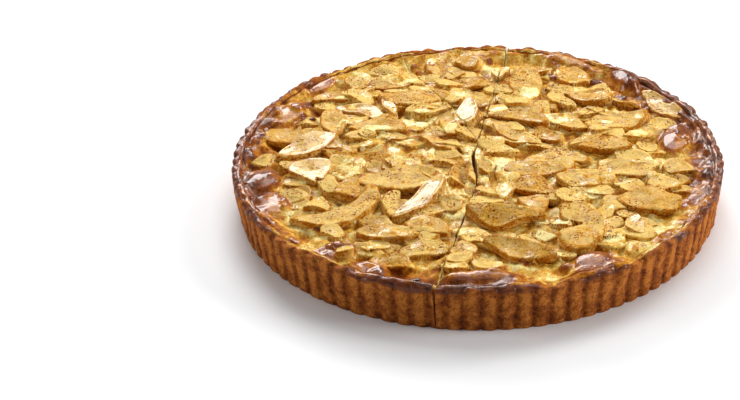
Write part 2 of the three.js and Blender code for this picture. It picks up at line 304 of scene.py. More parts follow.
BLISTERS = (
    Blister((-113, 52), (19, 12), 60, 5.2, 0.45),
    Blister((-121, -24), (15, 13), 80, 4.6, 0.95),
    Blister((-112, -49), (16, 11), 110, 3.6, 0.6),
    Blister((-74, -99), (14, 10), 20, 4.4, 0.8),
    Blister((-57, -114), (13, 8), -10, 4.0, 0.75),
    Blister((2, -124), (24, 7), 0, 5.0, 0.6),
    Blister((61, -108), (13, 11), 30, 4.4, 0.9),
    Blister((116, 22), (21, 11), 80, 4.6, 0.85),
    Blister((92, 98), (22, 11), 100, 7.0, 1.0),
    Blister((58, 121), (20, 10), -25, 6.0, 0.55),
    Blister((-96, 90), (14, 8), 40, 3.6, 0.7),
    Blister((103, -88), (13, 9), 50, 3.4, 0.8),
)


@dataclass(frozen=True)
class RingTone:
    """How brown the skin by the wall is, by a direction, its reach and its tone."""

    tones: tuple[tuple[float, float, float], ...] = (
        (0, 28, 1.0),
        (34, 13, 0.95),
        (60, 14, 0.45),
        (90, 22, 0.24),
        (120, 18, 0.34),
        (150, 14, 0.6),
        (178, 15, 1.0),
        (199, 11, 0.95),
        (215, 9, 0.55),
        (231, 11, 0.3),
        (249, 9, 1.0),
        (268, 15, 1.1),
        (287, 6, 0.2),
        (299, 8, 0.8),
        (312, 8, 0.3),
        (328, 10, 0.5),
    )

    def at(self, x: Array, y: Array) -> Array:
        """The tone in the direction of each place.

        Args:
            x: Places along X.
            y: Places along Y.

        Returns:
            The tone, 0 for cream and 1 for dark caramel.
        """
        angle = np.degrees(np.arctan2(y, x))
        total = np.zeros_like(angle)
        weights = np.full_like(angle, 1e-6)
        for middle, half, tone in self.tones:
            weight = bell(angle, middle, half)
            total += tone * weight
            weights += weight
        return total / weights


@dataclass(frozen=True)
class TartSizes:
    """The sizes that the pieces share."""

    foot_radius: float = 137 * MM
    rim_radius: float = 140 * MM
    rim_height: float = 27.2 * MM
    rim_wave: float = 1.1 * MM
    rim_bump: float = 30 * MM
    rim_fine_wave: float = 0.5 * MM
    rim_fine_bump: float = 9 * MM
    rim_round: float = 1.9 * MM
    crest_radius: float = 137.4 * MM
    inner_rim_radius: float = 134.4 * MM
    inner_foot_radius: float = 131.2 * MM
    base_thickness: float = 4.4 * MM
    flutes: int = 95
    flute_depth: float = 1.1 * MM
    compote_top: float = 12.6 * MM
    custard_edge: float = 21.4 * MM
    custard_crown: float = 1.8 * MM
    custard_wave: float = 1.1 * MM
    custard_bump: float = 34 * MM
    rim_dips: tuple[tuple[tuple[float, float], float, float], ...] = (
        ((40, -131), 7, 3.4),
        ((84, -106), 9, 2.2),
        ((-104, -88), 12, 1.4),
    )

    def rim_at(self, x: Array, y: Array) -> Array:
        """The height of the rim's crest.

        Args:
            x: Places along X.
            y: Places along Y.

        Returns:
            The height at each place.
        """
        broad = self.rim_wave * uneven(x, y, self.rim_bump)
        fine = self.rim_fine_wave * uneven(x, y, self.rim_fine_bump)
        dips = [
            drop * MM * np.exp(-((np.hypot(x / MM - at[0], y / MM - at[1]) / reach) ** 2))
            for at, reach, drop in self.rim_dips
        ]
        return self.rim_height + broad + fine - np.max(dips, axis=0)

    def custard_at(self, x: Array, y: Array) -> Array:
        """The height of the custard without its fine relief.

        Args:
            x: Places along X.
            y: Places along Y.

        Returns:
            The height at each place.
        """
        reach = np.hypot(x, y) / self.inner_rim_radius
        level = self.custard_edge + self.custard_crown * (1 - reach * reach)
        bumps = np.max([blister.rise_at(x, y) for blister in BLISTERS], axis=0)
        return level + self.custard_wave * uneven(x, y, self.custard_bump) + bumps

    def level(self, x: float, y: float) -> float:
        """The height of the custard at one place."""
        return float(self.custard_at(np.array([x]), np.array([y]))[0])

    def inner_radius(self, z: float) -> float:
        """The radius of the case's inner wall.

        Args:
            z: A height.

        Returns:
            The radius there.
        """
        span = self.rim_height - self.rim_round - self.base_thickness
        share = (z - self.base_thickness) / span
        return self.inner_foot_radius + share * (self.inner_rim_radius - self.inner_foot_radius)


# ---- Knife cuts ----------------------------------------------------------------------


@dataclass(frozen=True)
class Cut:
    """One straight stretch of a knife cut, from one place to another."""

    start: tuple[float, float]
    end: tuple[float, float]
    top_start: float
    top_end: float


@dataclass
class KnifeCuts:
    """The cuts that part the tart, wedge-shaped like the knife that made them."""

    foot_width: float = 0.4 * MM
    floor: float = -2 * MM
    top: float = 40 * MM
    near: float = 1.2 * MM
    stretches: tuple[Cut, ...] = (
        Cut((21.3, 145), (-1.5, 4), 1.1, 1.5),
        Cut((-1.5, 4), (0.5, -26), 1.6, 1.6),
        Cut((0.5, -26), (-23.2, -145), 1.6, 1.5),
        Cut((-54.5, 145), (1.2, 20), 1.1, 0.7),
    )
    opening: tuple[tuple[float, float], ...] = (
        (0, 6), (-1, 0), (-0.9, -12), (1.4, -31), (1.3, -16), (1, -2),
    )
    opening_foot: float = 16.2 * MM
    opening_widths: tuple[float, float] = (0.7, 2.6)
    opening_slant: float = 0.05
    blades: list[Piece] = field(default_factory=list)

    def build(self) -> None:
        """Makes one blade for each stretch, and one for the opening in the middle."""
        for number, cut in enumerate(self.stretches):
            outline = [self.outline(cut, self.foot_width, self.foot_width)]
            outline.append(self.outline(cut, cut.top_start * MM, cut.top_end * MM))
            self.blades.append(self.blade(f"blade_{number}", outline, self.floor))
        x, y = self.stretches[1].start
        slant = self.opening_slant
        spread = [
            [((x + dx * wide - dy * slant) * MM, (y + dy) * MM) for dx, dy in self.opening]
            for wide in self.opening_widths
        ]
        self.blades.append(self.blade("blade_opening", spread, self.opening_foot))

    def outline(self, cut: Cut, wide_start: float, wide_end: float) -> list[tuple[float, float]]:
        """The four corners of a stretch in plan.

        Args:
            cut: The stretch.
            wide_start: Its width at the start.
            wide_end: Its width at the end.

        Returns:
            The corners, counter-clockwise.
        """
        start = Vector(cut.start) * MM
        end = Vector(cut.end) * MM
        way = (end - start).normalized()
        side = Vector((-way.y, way.x))
        start = start - way * self.foot_width
        end = end + way * self.foot_width
        corners = (
            start - side * wide_start / 2,
            end - side * wide_end / 2,
            end + side * wide_end / 2,
            start + side * wide_start / 2,
        )
        return [(corner.x, corner.y) for corner in corners]

    def blade(
        self, name: str, outlines: list[list[tuple[float, float]]], foot: float
    ) -> Piece:
        """A solid blade between a lower and an upper outline.

        Args:
            name: The blade's name.
            outlines: The corners at the foot, and those at the top.
            foot: The height of the foot.

        Returns:
            The blade.
        """
        count = len(outlines[0])
        deselect_all()
        bpy.ops.mesh.primitive_cylinder_add(vertices=count, depth=1, radius=1)
        piece = bpy.context.object
        piece.name = name
        points = coords(piece)
        angles = np.arctan2(points[:, 0], points[:, 1])
        order = np.rint(angles / (2 * math.pi) * count).astype(int) % count
        for index, (point, step) in enumerate(zip(points, order)):
            upper = point[2] > 0
            corner = outlines[1 if upper else 0][-step % count]
            points[index] = (*corner, self.top if upper else foot)
        set_coords(piece, points)
        piece.hide_render = True
        return piece

    def parts(self, piece: Piece) -> list[Piece]:
        """Cuts a piece by every blade and takes it apart.

        Args:
            piece: The piece that is cut.

        Returns:
            Its parts.
        """
        settings = {"operation": "DIFFERENCE", "solver": "MANIFOLD"}
        for blade in self.blades:
            apply_modifier(piece, "BOOLEAN", object=blade, **settings)
        activate(piece)
        bpy.ops.mesh.separate(type="LOOSE")
        return list(bpy.context.selected_objects)

    def split(self, piece: Piece, name: str) -> dict[Side, Piece]:
        """Cuts a piece and parts it into its portions.

        Args:
            piece: The whole piece.
            name: The stem of the portions' names.

        Returns:
            The portions by their side.
        """
        portions: dict[Side, Piece] = {}
        for part in self.parts(piece):
            side = self.side_of(part)
            rest = portions.get(side)
            if rest is not None and len(rest.data.vertices) > len(part.data.vertices):
                bpy.data.objects.remove(part)
                continue
            if rest is not None:
                bpy.data.objects.remove(rest)
            portions[side] = part
        for side, part in portions.items():
            part.name = f"{name}_{side.value}"
        return portions

    def parted(self, piece: Piece, least_corners: int) -> list[Piece]:
        """Cuts a small piece where a knife cut crosses it.

        Args:
            piece: The piece.
            least_corners: The corners that a part needs to be kept.

        Returns:
            The parts that are left, or the piece itself.
        """
        if self.distance(coords(piece)).min() > self.near:
            return [piece]
        kept = []
        for part in self.parts(piece):
            if len(part.data.vertices) < least_corners:
                bpy.data.objects.remove(part)
            else:
                kept.append(part)
        return kept

    def side_of(self, part: Piece) -> Side:
        """The side that a part lies on, by the middle of its corners.

        Args:
            part: A part of the tart.

        Returns:
            Its side.
        """
        x, y, _ = coords(part).mean(axis=0)
        back_end = Vector(self.stretches[0].start)
        second_end = Vector(self.stretches[3].start)
        if y > 0 and second_end.x / second_end.y < x / y < back_end.x / back_end.y:
            return Side.NARROW
        return Side.LEFT if x < 0 else Side.RIGHT

    def remove(self) -> None:
        """Removes the blades, which aren't part of the tart."""
        for blade in self.blades:
            bpy.data.objects.remove(blade)
        self.blades.clear()

    def distance(self, points: Array) -> Array:
        """How far points are from the nearest stretch in plan.

        Args:
            points: Rows of x, y, z.

        Returns:
            One distance for each row.
        """
        away = []
        for cut in self.stretches:
            start = np.array(cut.start) * MM
            way = np.array(cut.end) * MM - start
            length = np.hypot(*way)
            way /= length
            rest = points[:, :2] - start
            along = np.clip(rest @ way, 0, length)
            away.append(np.hypot(*(rest - along[:, None] * way).T))
        return np.min(away, axis=0)


# ---- Shader tools --------------------------------------------------------------------


class Shader:
    """Places and links the nodes of one material or node group."""

    def __init__(self, tree: bpy.types.NodeTree) -> None:
        """Keeps the tree that is filled."""
        self.tree = tree

    def node(self, kind: str, **settings: object) -> bpy.types.Node:
        """Adds a node.

        Args:
            kind: The node's type.
            **settings: Values for its properties.

        Returns:
            The node.
        """
        made = self.tree.nodes.new(kind)
        for key, value in settings.items():
            setattr(made, key, value)
        return made

    def put(self, value: object, socket: bpy.types.NodeSocket) -> None:
        """Links an output to a socket, or sets the socket's own value.

        Args:
            value: An output socket, a number or a color.
            socket: The socket that takes it.
        """
        if isinstance(value, bpy.types.NodeSocket):
            self.tree.links.new(value, socket)
        elif isinstance(value, tuple) and len(value) == 3 and socket.type == "RGBA":
            socket.default_value = (*value, 1)
        else:
            socket.default_value = value

    def place(self) -> bpy.types.NodeSocket:
        """The place on the object, in metres."""
        return self.node("ShaderNodeTexCoord").outputs["Object"]

    def attribute(self, name: str) -> bpy.types.NodeSocket:
        """A value that the mesh stores under a name."""
        return self.node("ShaderNodeAttribute", attribute_name=name).outputs["Fac"]

    def noise(self, place: object, size: float, detail: float = 3, rough: float = 0.55) -> object:
        """Cloudy noise.

        Args:
            place: Where it is read.
            size: The width of its clouds.
            detail: How many finer layers it has.
            rough: How strong the finer layers are.

        Returns:
            Its output, from 0 to 1.
        """
        made = self.node("ShaderNodeTexNoise")
        self.put(place, made.inputs["Vector"])
        made.inputs["Scale"].default_value = 1 / size
        made.inputs["Detail"].default_value = detail
        made.inputs["Roughness"].default_value = rough
        return made.outputs["Fac"]

    def cells(self, place: object, size: float) -> bpy.types.Node:
        """Cells of a width around scattered points, read at a place.

        Args:
            place: Where they are read.
            size: The width of a cell.

        Returns:
            The node.
        """
        made = self.node("ShaderNodeTexVoronoi")
        self.put(place, made.inputs["Vector"])
        made.inputs["Scale"].default_value = 1 / size
        return made

    def step(self, operation: str, first: object, second: object) -> bpy.types.NodeSocket:
        """One step of arithmetic.

        Args:
            operation: The step, such as ADD.
            first: The first value.
            second: The second value.

        Returns:
            The result.
        """
        made = self.node("ShaderNodeMath", operation=operation)
        self.put(first, made.inputs[0])
        self.put(second, made.inputs[1])
        return made.outputs[0]

    def times(self, first: object, second: object) -> bpy.types.NodeSocket:
        """The product of two values."""
        return self.step("MULTIPLY", first, second)

    def total(self, base: object, *shares: tuple[object, float]) -> bpy.types.NodeSocket:
        """A base plus other values.

        Args:
            base: The base.
            *shares: Pairs of a value and the factor that it is taken by.

        Returns:
            The total.
        """
        for value, factor in shares:
            base = self.step("ADD", base, self.times(value, factor))
        return base

    def span(
        self, value: object, low: float, high: float, to_low: float = 0, to_high: float = 1
    ) -> bpy.types.NodeSocket:
        """Maps a span of values onto another, softly and within its ends.

        Args:
            value: The value to map.
            low: Where the span starts.
            high: Where it ends.
            to_low: The result at the start.
            to_high: The result at the end.

        Returns:
            The mapped value.
        """
        made = self.node("ShaderNodeMapRange", interpolation_type="SMOOTHSTEP")
        self.put(value, made.inputs["Value"])
        made.inputs["From Min"].default_value = low
        made.inputs["From Max"].default_value = high
        made.inputs["To Min"].default_value = to_low
        made.inputs["To Max"].default_value = to_high
        return made.outputs["Result"]

    def mix(self, share: object, first: object, second: object) -> bpy.types.NodeSocket:
        """Mixes two colors.

        Args:
            share: How much of the second color.
            first: The first color.
            second: The second color.

        Returns:
            The mixed color.
        """
        made = self.node("ShaderNodeMix", data_type="RGBA")
        self.put(share, made.inputs[0])
        self.put(first, made.inputs[6])
        self.put(second, made.inputs[7])
        return made.outputs[2]

    def layers(self, color: object, *over: tuple[object, object]) -> object:
        """Lays colors over a first one.

        Args:
            color: The first color.
            *over: Pairs of a mask and the color that it lets through.

        Returns:
            The color with all layers on it.
        """
        for mask, layer in over:
            color = self.mix(mask, color, layer)
        return color

    def bump(self, height: object, depth: float, strength: object = 1, normal: object = None) -> object:
        """Turns a height into a bumped normal.

        Args:
            height: The height, from 0 to 1.
            depth: The real height of 1.
            strength: How much of it shows.
            normal: The normal it is added to.

        Returns:
            The bumped normal.
        """
        made = self.node("ShaderNodeBump")
        self.put(height, made.inputs["Height"])
        made.inputs["Distance"].default_value = depth
        self.put(strength, made.inputs["Strength"])
        if normal is not None:
            self.put(normal, made.inputs["Normal"])
        return made.outputs["Normal"]

    def group(self, effect: "EffectGroup", **values: object) -> bpy.types.Node:
        """Places the node group of an effect.

        Args:
            effect: The effect.
            **values: Values or links for its inputs.

        Returns:
            The group's node.
        """
        made = self.node("ShaderNodeGroup", node_tree=effect.tree())
        for key, value in values.items():
            self.put(value, made.inputs[key])
        return made


class EffectGroup:
    """Base of the effects that several finishes share, each a node group."""

    title = "effect"
    strength = ("Strength", 0.5)
    outputs: tuple[str, ...] = ()

    def tree(self) -> bpy.types.NodeTree:
        """The group's tree, built when it is first asked for.

        Returns:
            The node tree.
        """
        known = bpy.data.node_groups.get(self.title)
        if known:
            return known
        made = bpy.data.node_groups.new(self.title, "ShaderNodeTree")
        made.interface.new_socket("Place", in_out="INPUT", socket_type="NodeSocketVector")
        name, usual = self.strength
        socket = made.interface.new_socket(name, in_out="INPUT", socket_type="NodeSocketFloat")
        socket.default_value = usual
        for name in self.outputs:
            made.interface.new_socket(name, in_out="OUTPUT", socket_type="NodeSocketFloat")
        shader = Shader(made)
        given = shader.node("NodeGroupInput").outputs
        result = shader.node("NodeGroupOutput").inputs
        self.fill(shader, given, result)
        return made

    def fill(self, shader: Shader, given: object, result: object) -> None:
        """Places the nodes between the group's inputs and outputs."""
        raise NotImplementedError


class Cinnamon(EffectGroup):
    """Ground cinnamon: scattered dark specks, denser in some places."""

    title = "cinnamon specks"
    strength = ("Amount", 0.5)
    outputs = ("Specks", "Dust")
    drift_size = 11 * MM
    grain_size = 1.25 * MM
    fleck_size = 3.3 * MM
    wobble_size = 1.1 * MM
    haze_size = 2.2 * MM
    dense_drift: Span = (0.4, 0.6)
    fine_grains: Span = (0.725, 0.78)
    fleck_edge: Span = (0.26, 0.4, 1, 0)
    hazy: Span = (0.55, 0.62)

    def fill(self, shader: Shader, given: object, result: object) -> None:
        """Places the nodes of the specks.

        Args:
            shader: The group's nodes.
            given: The outputs of its input node.
            result: The inputs of its output node.
        """
        place = given["Place"]
        drift = shader.noise(place, self.drift_size, 3)
        dense = shader.times(shader.span(drift, *self.dense_drift), given["Amount"])
        grains = shader.total(shader.noise(place, self.grain_size, 1, 0.4), (dense, 0.16))
        fine = shader.span(grains, *self.fine_grains)
        cell = shader.cells(place, self.fleck_size)
        wobble = shader.noise(place, self.wobble_size, 2)
        edge = shader.total(cell.outputs["Distance"], (wobble, 0.35))
        chosen = shader.node("ShaderNodeSeparateColor")
        shader.put(cell.outputs["Color"], chosen.inputs[0])
        taken = shader.step("LESS_THAN", chosen.outputs[0], dense)
        coarse = shader.times(shader.span(edge, *self.fleck_edge), taken)
        shader.put(shader.step("MAXIMUM", fine, coarse), result["Specks"])
        haze = shader.span(shader.noise(place, self.haze_size, 5, 0.75), *self.hazy)
        shader.put(shader.times(haze, dense), result["Dust"])


class BakedCloud(EffectGroup):
    """Uneven baking: broad and fine clouds of brown."""

    title = "uneven baking"
    strength = ("Fineness", 0.5)
    outputs = ("Broad", "Fine")
    broad_size = 10 * MM
    fine_size = 3.4 * MM

    def fill(self, shader: Shader, given: object, result: object) -> None:
        """Places the nodes of the clouds.

        Args:
            shader: The group's nodes.
            given: The outputs of its input node.
            result: The inputs of its output node.
        """
        broad = shader.noise(given["Place"], self.broad_size, 3, 0.5)
        shader.put(shader.span(broad, 0.3, 0.7), result["Broad"])
        fine = shader.noise(given["Place"], self.fine_size, 4, 0.62)
        swing = shader.step("SUBTRACT", shader.span(fine, 0.28, 0.72), 0.5)
        even = shader.times(swing, given["Fineness"])
        shader.put(shader.step("ADD", even, 0.5), result["Fine"])


class Mottle(EffectGroup):
    """Fine mottling of baked skin: masks of small dark and small light flecks."""

    title = "fine mottling"
    outputs = ("Dark", "Light")
    fleck_size = 1.3 * MM
    crowd_size = 9 * MM
    dark_flecks: Span = (0.56, 0.64)
    light_flecks: Span = (0.34, 0.42, 1, 0)
    crowded: Span = (0.42, 0.6, 0.25, 1)

    def fill(self, shader: Shader, given: object, result: object) -> None:
        """Places the nodes of the flecks.

        Args:
            shader: The group's nodes.
            given: The outputs of its input node.
            result: The inputs of its output node.
        """
        flecks = shader.noise(given["Place"], self.fleck_size, 3, 0.7)
        crowd = shader.span(shader.noise(given["Place"], self.crowd_size, 2), *self.crowded)
        dark = shader.times(shader.span(flecks, *self.dark_flecks), crowd)
        light = shader.span(flecks, *self.light_flecks)
        shader.put(shader.times(dark, given["Strength"]), result["Dark"])
        shader.put(shader.times(light, given["Strength"]), result["Light"])


class GlazeFilm(EffectGroup):
    """A wet glaze: where it lies thick, and the height of its ripples."""

    title = "glaze film"
    strength = ("Wetness", 0.5)
    outputs = ("Film", "Height")
    patch_size = 8 * MM
    drop_size = 2.6 * MM
    swell_size = 6.5 * MM
    film: Span = (0.53, 0.65)
    calm: Span = (0.6, 1.2, 1, 0.2)

    def fill(self, shader: Shader, given: object, result: object) -> None:
        """Places the nodes of the film.

        Args:
            shader: The group's nodes.
            given: The outputs of its input node.
            result: The inputs of its output node.
        """
        place = given["Place"]
        patches = shader.noise(place, self.patch_size, 4, 0.6)
        lifted = shader.step("ADD", patches, shader.step("SUBTRACT", given["Wetness"], 0.5))
        shader.put(shader.span(lifted, *self.film), result["Film"])
        drops = shader.noise(place, self.drop_size, 3, 0.5)
        rough = shader.total(shader.noise(place, self.swell_size, 2), (drops, 0.4))
        calm = shader.span(given["Wetness"], *self.calm)
        shader.put(shader.times(rough, calm), result["Height"])


# ---- Finishes ------------------------------------------------------------------------


@dataclass(frozen=True)
class Finish:
    """Base of the finishes: a named material around one principled shader."""

    name: str
    roughness: float = 0.4
    coat: float = 0.75
    coat_roughness: float = 0.1
    coat_ior: float = 1.45
    juicy: float = 0.0
    juice_reach: float = 3 * MM
    juice_tint: Color = (1.0, 0.45, 0.16)
    specular: float = 0.5

    def material(self) -> bpy.types.Material:
        """The finish as a material, built when it is first asked for.

        Returns:
            The material.
        """
        known = bpy.data.materials.get(self.name)
        if known:
            return known
        made = bpy.data.materials.new(self.name)
        made.use_nodes = True
        made.node_tree.nodes.clear()
        shader = Shader(made.node_tree)
        body = shader.node("ShaderNodeBsdfPrincipled")
        result = shader.node("ShaderNodeOutputMaterial")
        shader.put(body.outputs[0], result.inputs["Surface"])
        constants = {
            "Roughness": self.roughness,
            "Coat Weight": self.coat,
            "Coat Roughness": self.coat_roughness,
            "Coat IOR": self.coat_ior,
            "Specular IOR Level": self.specular,
            "Subsurface Weight": self.juicy,
            "Subsurface Radius": self.juice_tint,
            "Subsurface Scale": self.juice_reach,
        }
        for socket, value in constants.items():
            body.inputs[socket].default_value = value
        self.fill(shader, body)
        return made

    def fill(self, shader: Shader, body: bpy.types.Node) -> None:
        """Places the nodes that feed the principled shader."""
        raise NotImplementedError


@dataclass(frozen=True)
class WetFinish(Finish):
    """Base of the glazed finishes: a rippled wet coat over a finely grained surface."""

    grain_size: float = 1.5 * MM
    grain_rough: float = 0.6
    grain_depth: float = 0.5 * MM
    grain_strength: float = 0.9
    film_depth: float = 1.0 * MM
    film_strength: float = 0.7
    drop_size: float = 1.7 * MM
    swell_size: float = 5.5 * MM
    ripple_depth: float = 0.8 * MM
    ripple_calm: Span = (0.7, 1.2, 0.8, 0.3)

    def glaze(self, shader: Shader, body: bpy.types.Node, place: object) -> None:
        """Lays the glaze on, with ripples of its own and of the skin under it.

        Args:
            shader: The material's nodes.
            body: The principled shader.
            place: The place on the object.
        """
        wetness = shader.attribute("wet")
        glaze = shader.group(GlazeFilm(), Place=place, Wetness=wetness)
        shader.put(shader.times(glaze.outputs["Film"], self.coat), body.inputs["Coat Weight"])
        drops = shader.noise(place, self.drop_size, 2, 0.5)
        waves = shader.total(shader.noise(place, self.swell_size, 2), (drops, 0.4))
        strength = shader.span(wetness, *self.ripple_calm)
        shader.put(shader.bump(waves, self.ripple_depth, strength), body.inputs["Coat Normal"])
        pores = shader.noise(place, self.grain_size, 4, self.grain_rough)
        grain = shader.bump(pores, self.grain_depth, self.grain_strength)
        skin = shader.bump(glaze.outputs["Height"], self.film_depth, self.film_strength, grain)
        shader.put(skin, body.inputs["Normal"])


@dataclass(frozen=True)
class AppleFinish(WetFinish):
    """Baked apple: pale to golden flesh, browned edges, cinnamon and a wet glaze."""

    pale: Color = srgb(252, 239, 172)
    yellow: Color = srgb(236, 197, 90)
    golden: Color = srgb(218, 165, 42)
    amber: Color = srgb(182, 110, 6)
    rust: Color = srgb(174, 90, 6)
    brown: Color = srgb(138, 74, 4)
    dark: Color = srgb(88, 38, 8)
    speck: Color = srgb(118, 54, 8)
    unbaked: float = -0.46
    peel_size: float = 5 * MM
    crowd_size: float = 4.2 * MM
    to_yellow: Span = (0.15, 0.7)
    to_golden: Span = (0.65, 1.1)
    browned_peel: Span = (0.4, 0.7)
    golden_crowd: Span = (0.54, 0.61, 0, 0.75)
    amber_crowd: Span = (0.6, 0.67, 0, 0.9)
    # how strong the painted shade low in the custard is, by how baked the flesh is
    low_shade_span: Span = (0, 0.5, 0.6, 1.0)
    scorched: Span = (0.95, 1.25, 0, 0.7)
    wall_share: float = 0.7
    dust_share: float = 0.9
    speck_share: float = 0.95

    def fill(self, shader: Shader, body: bpy.types.Node) -> None:
        """Places the nodes of the baked flesh.

        Args:
            shader: The material's nodes.
            body: The principled shader.
        """
        place = shader.place()
        tone = shader.attribute("tone")
        cloud = shader.group(BakedCloud(), Place=place, Fineness=0.9).outputs
        baking = shader.total(
            self.unbaked, (cloud["Broad"], 0.5), (tone, 1.4), (cloud["Fine"], 0.4)
        )
        peel = shader.total(shader.noise(place, self.peel_size, 4, 0.6), (tone, 0.5))
        wall = shader.mix(shader.span(peel, *self.browned_peel), self.golden, self.amber)
        crowd = shader.noise(place, self.crowd_size, 5, 0.7)
        crowd = shader.total(crowd, (shader.attribute("edge"), 0.14), (tone, 0.14))
        mottle = shader.group(Mottle(), Place=place, Strength=0.5).outputs
        # painted shade, partly browning at the fruit's foot: brown laid where the fruit sits low in the
        # custard and down its cut faces
        low_shade = shader.times(shader.attribute("low"), shader.span(baking, *self.low_shade_span))
        spice = shader.group(Cinnamon(), Place=place, Amount=0.9).outputs
        color = shader.layers(
            self.pale,
            (shader.span(baking, *self.to_yellow), self.yellow),
            (shader.span(baking, *self.to_golden), self.golden),
            (shader.times(shader.attribute("steep"), self.wall_share), wall),
            (shader.span(crowd, *self.golden_crowd), self.golden),
            (shader.span(crowd, *self.amber_crowd), self.amber),
            (mottle["Dark"], self.amber),
            (mottle["Light"], self.pale),
            (low_shade, self.brown),
            (shader.span(baking, *self.scorched), self.dark),
            (shader.times(spice["Dust"], self.dust_share), self.rust),
            (shader.times(spice["Specks"], self.speck_share), self.speck),
        )
        shader.put(color, body.inputs["Base Color"])
        self.glaze(shader, body, place)


@dataclass(frozen=True)
class CustardFinish(WetFinish):
    """Baked custard: cream in the hollows, golden skins, dark caramel blisters."""

    cream: Color = srgb(247, 230, 156)
    yellow: Color = srgb(218, 170, 64)
    amber: Color = srgb(182, 110, 8)
    caramel: Color = srgb(134, 64, 4)
    scorched: Color = srgb(80, 34, 6)
    speck: Color = srgb(104, 50, 18)
    unbaked: float = -0.4
    vein_size: float = 2.4 * MM
    veins: Span = (0.52, 0.66, 0, 0.3)
    to_yellow: Span = (0.0, 0.3)
    to_amber: Span = (0.28, 0.56)
    to_caramel: Span = (0.58, 0.88)
    to_scorched: Span = (0.9, 1.3)
    pale_flecks: Span = (0.3, 0.7, 1, 0.15)
    # how far below its level the custard takes the painted shade, and how strongly
    sunk_shade: Span = (0.6 * MM, 2.2 * MM, 0, 0.9)
    dust_share: float = 0.4
    speck_share: float = 0.8

    def fill(self, shader: Shader, body: bpy.types.Node) -> None:
        """Places the nodes of the baked custard.

        Args:
            shader: The material's nodes.
            body: The principled shader.
        """
        place = shader.place()
        browning_and_shade = shader.attribute("browning_and_shade")
        cloud = shader.group(BakedCloud(), Place=place, Fineness=1.0).outputs
        veins = shader.span(shader.noise(place, self.vein_size, 5, 0.72), *self.veins)
        baking = shader.total(
            self.unbaked, (browning_and_shade, 1), (cloud["Fine"], 0.4), (cloud["Broad"], 0.4), (veins, 1)
        )
        mottle = shader.group(Mottle(), Place=place, Strength=0.4).outputs
        spice = shader.group(Cinnamon(), Place=place, Amount=0.42).outputs
        color = shader.layers(
            self.cream,
            (shader.span(baking, *self.to_yellow), self.yellow),
            (shader.span(baking, *self.to_amber), self.amber),
            (shader.span(baking, *self.to_caramel), self.caramel),
            (shader.span(baking, *self.to_scorched), self.scorched),
            (mottle["Dark"], self.amber),
            (shader.times(mottle["Light"], shader.span(browning_and_shade, *self.pale_flecks)), self.cream),
            (shader.times(spice["Dust"], self.dust_share), self.amber),
            (shader.times(spice["Specks"], self.speck_share), self.speck),
            # painted shade: caramel the deeper the custard lies below its level, in the cut gaps and
            # hollows
            (shader.span(shader.attribute("sunk"), *self.sunk_shade), self.caramel),
        )
        shader.put(color, body.inputs["Base Color"])
        self.glaze(shader, body, place)


@dataclass(frozen=True)
class PastryFinish(Finish):
    """Baked shortcrust: porous and matt at the side, dark and glazed at the rim."""

    golden: Color = srgb(196, 118, 46)
    brown: Color = srgb(146, 76, 24)
    dark: Color = srgb(92, 40, 11)
    glazed: Color = srgb(116, 52, 10)
    scorched: Color = srgb(64, 26, 8)
    crumb_size: float = 1.3 * MM
    pore_size: float = 1.5 * MM
    pore_crowd: float = 4 * MM
    grain_size: float = 0.9 * MM
    grain_depth: float = 0.55 * MM
    rim_wetness: float = 0.75
    rim_roughness: float = 0.6
    crumbs: Span = (0.36, 0.66)
    to_brown: Span = (0.02, 0.4)
    to_dark: Span = (0.36, 0.72)
    to_scorched: Span = (0.1, 0.75)
    pitted: Span = (0.1, 0.45, 1, 0)
    crowded: Span = (0.42, 0.6)
    # how dark the painted shade in the pores is
    pit_shade_share: float = 0.6

    def fill(self, shader: Shader, body: bpy.types.Node) -> None:
        """Places the nodes of the crust.

        Args:
            shader: The material's nodes.
            body: The principled shader.
        """
        place = shader.place()
        glaze = shader.attribute("glaze")
        cloud = shader.group(BakedCloud(), Place=place, Fineness=1.0).outputs
        crumbs = shader.span(shader.noise(place, self.crumb_size, 3, 0.7), *self.crumbs)
        # painted light and shade: the flutes' crests are painted lighter and their grooves darker
        painted_ridge_light = shader.attribute("painted_ridge_light")
        baking = shader.total(
            0, (cloud["Broad"], 0.24), (cloud["Fine"], 0.36), (crumbs, 0.26), (painted_ridge_light, -0.24)
        )
        pits = shader.span(shader.cells(place, self.pore_size).outputs["Distance"], *self.pitted)
        chosen = shader.span(shader.noise(place, self.pore_crowd, 2), *self.crowded)
        pits = shader.times(pits, chosen)
        skin = shader.mix(shader.span(baking, *self.to_scorched), self.glazed, self.scorched)
        color = shader.layers(
            self.golden,
            (shader.span(baking, *self.to_brown), self.brown),
            (shader.span(baking, *self.to_dark), self.dark),
            # painted shade in the pores, which the bump sinks, in the darkest colour
            (shader.times(pits, self.pit_shade_share), self.scorched),
            (glaze, skin),
        )
        shader.put(color, body.inputs["Base Color"])
        wet = shader.group(GlazeFilm(), Place=place, Wetness=self.rim_wetness).outputs
        flooded = shader.span(glaze, 0.6, 0.95, 0, 0.6 * self.coat)
        shader.put(shader.times(wet["Film"], flooded), body.inputs["Coat Weight"])
        rough = shader.span(glaze, 0, 1, self.roughness, self.rim_roughness)
        shader.put(rough, body.inputs["Roughness"])
        grain = shader.total(shader.noise(place, self.grain_size, 5, 0.7), (pits, -0.6))
        shader.put(shader.bump(grain, self.grain_depth, 0.8), body.inputs["Normal"])


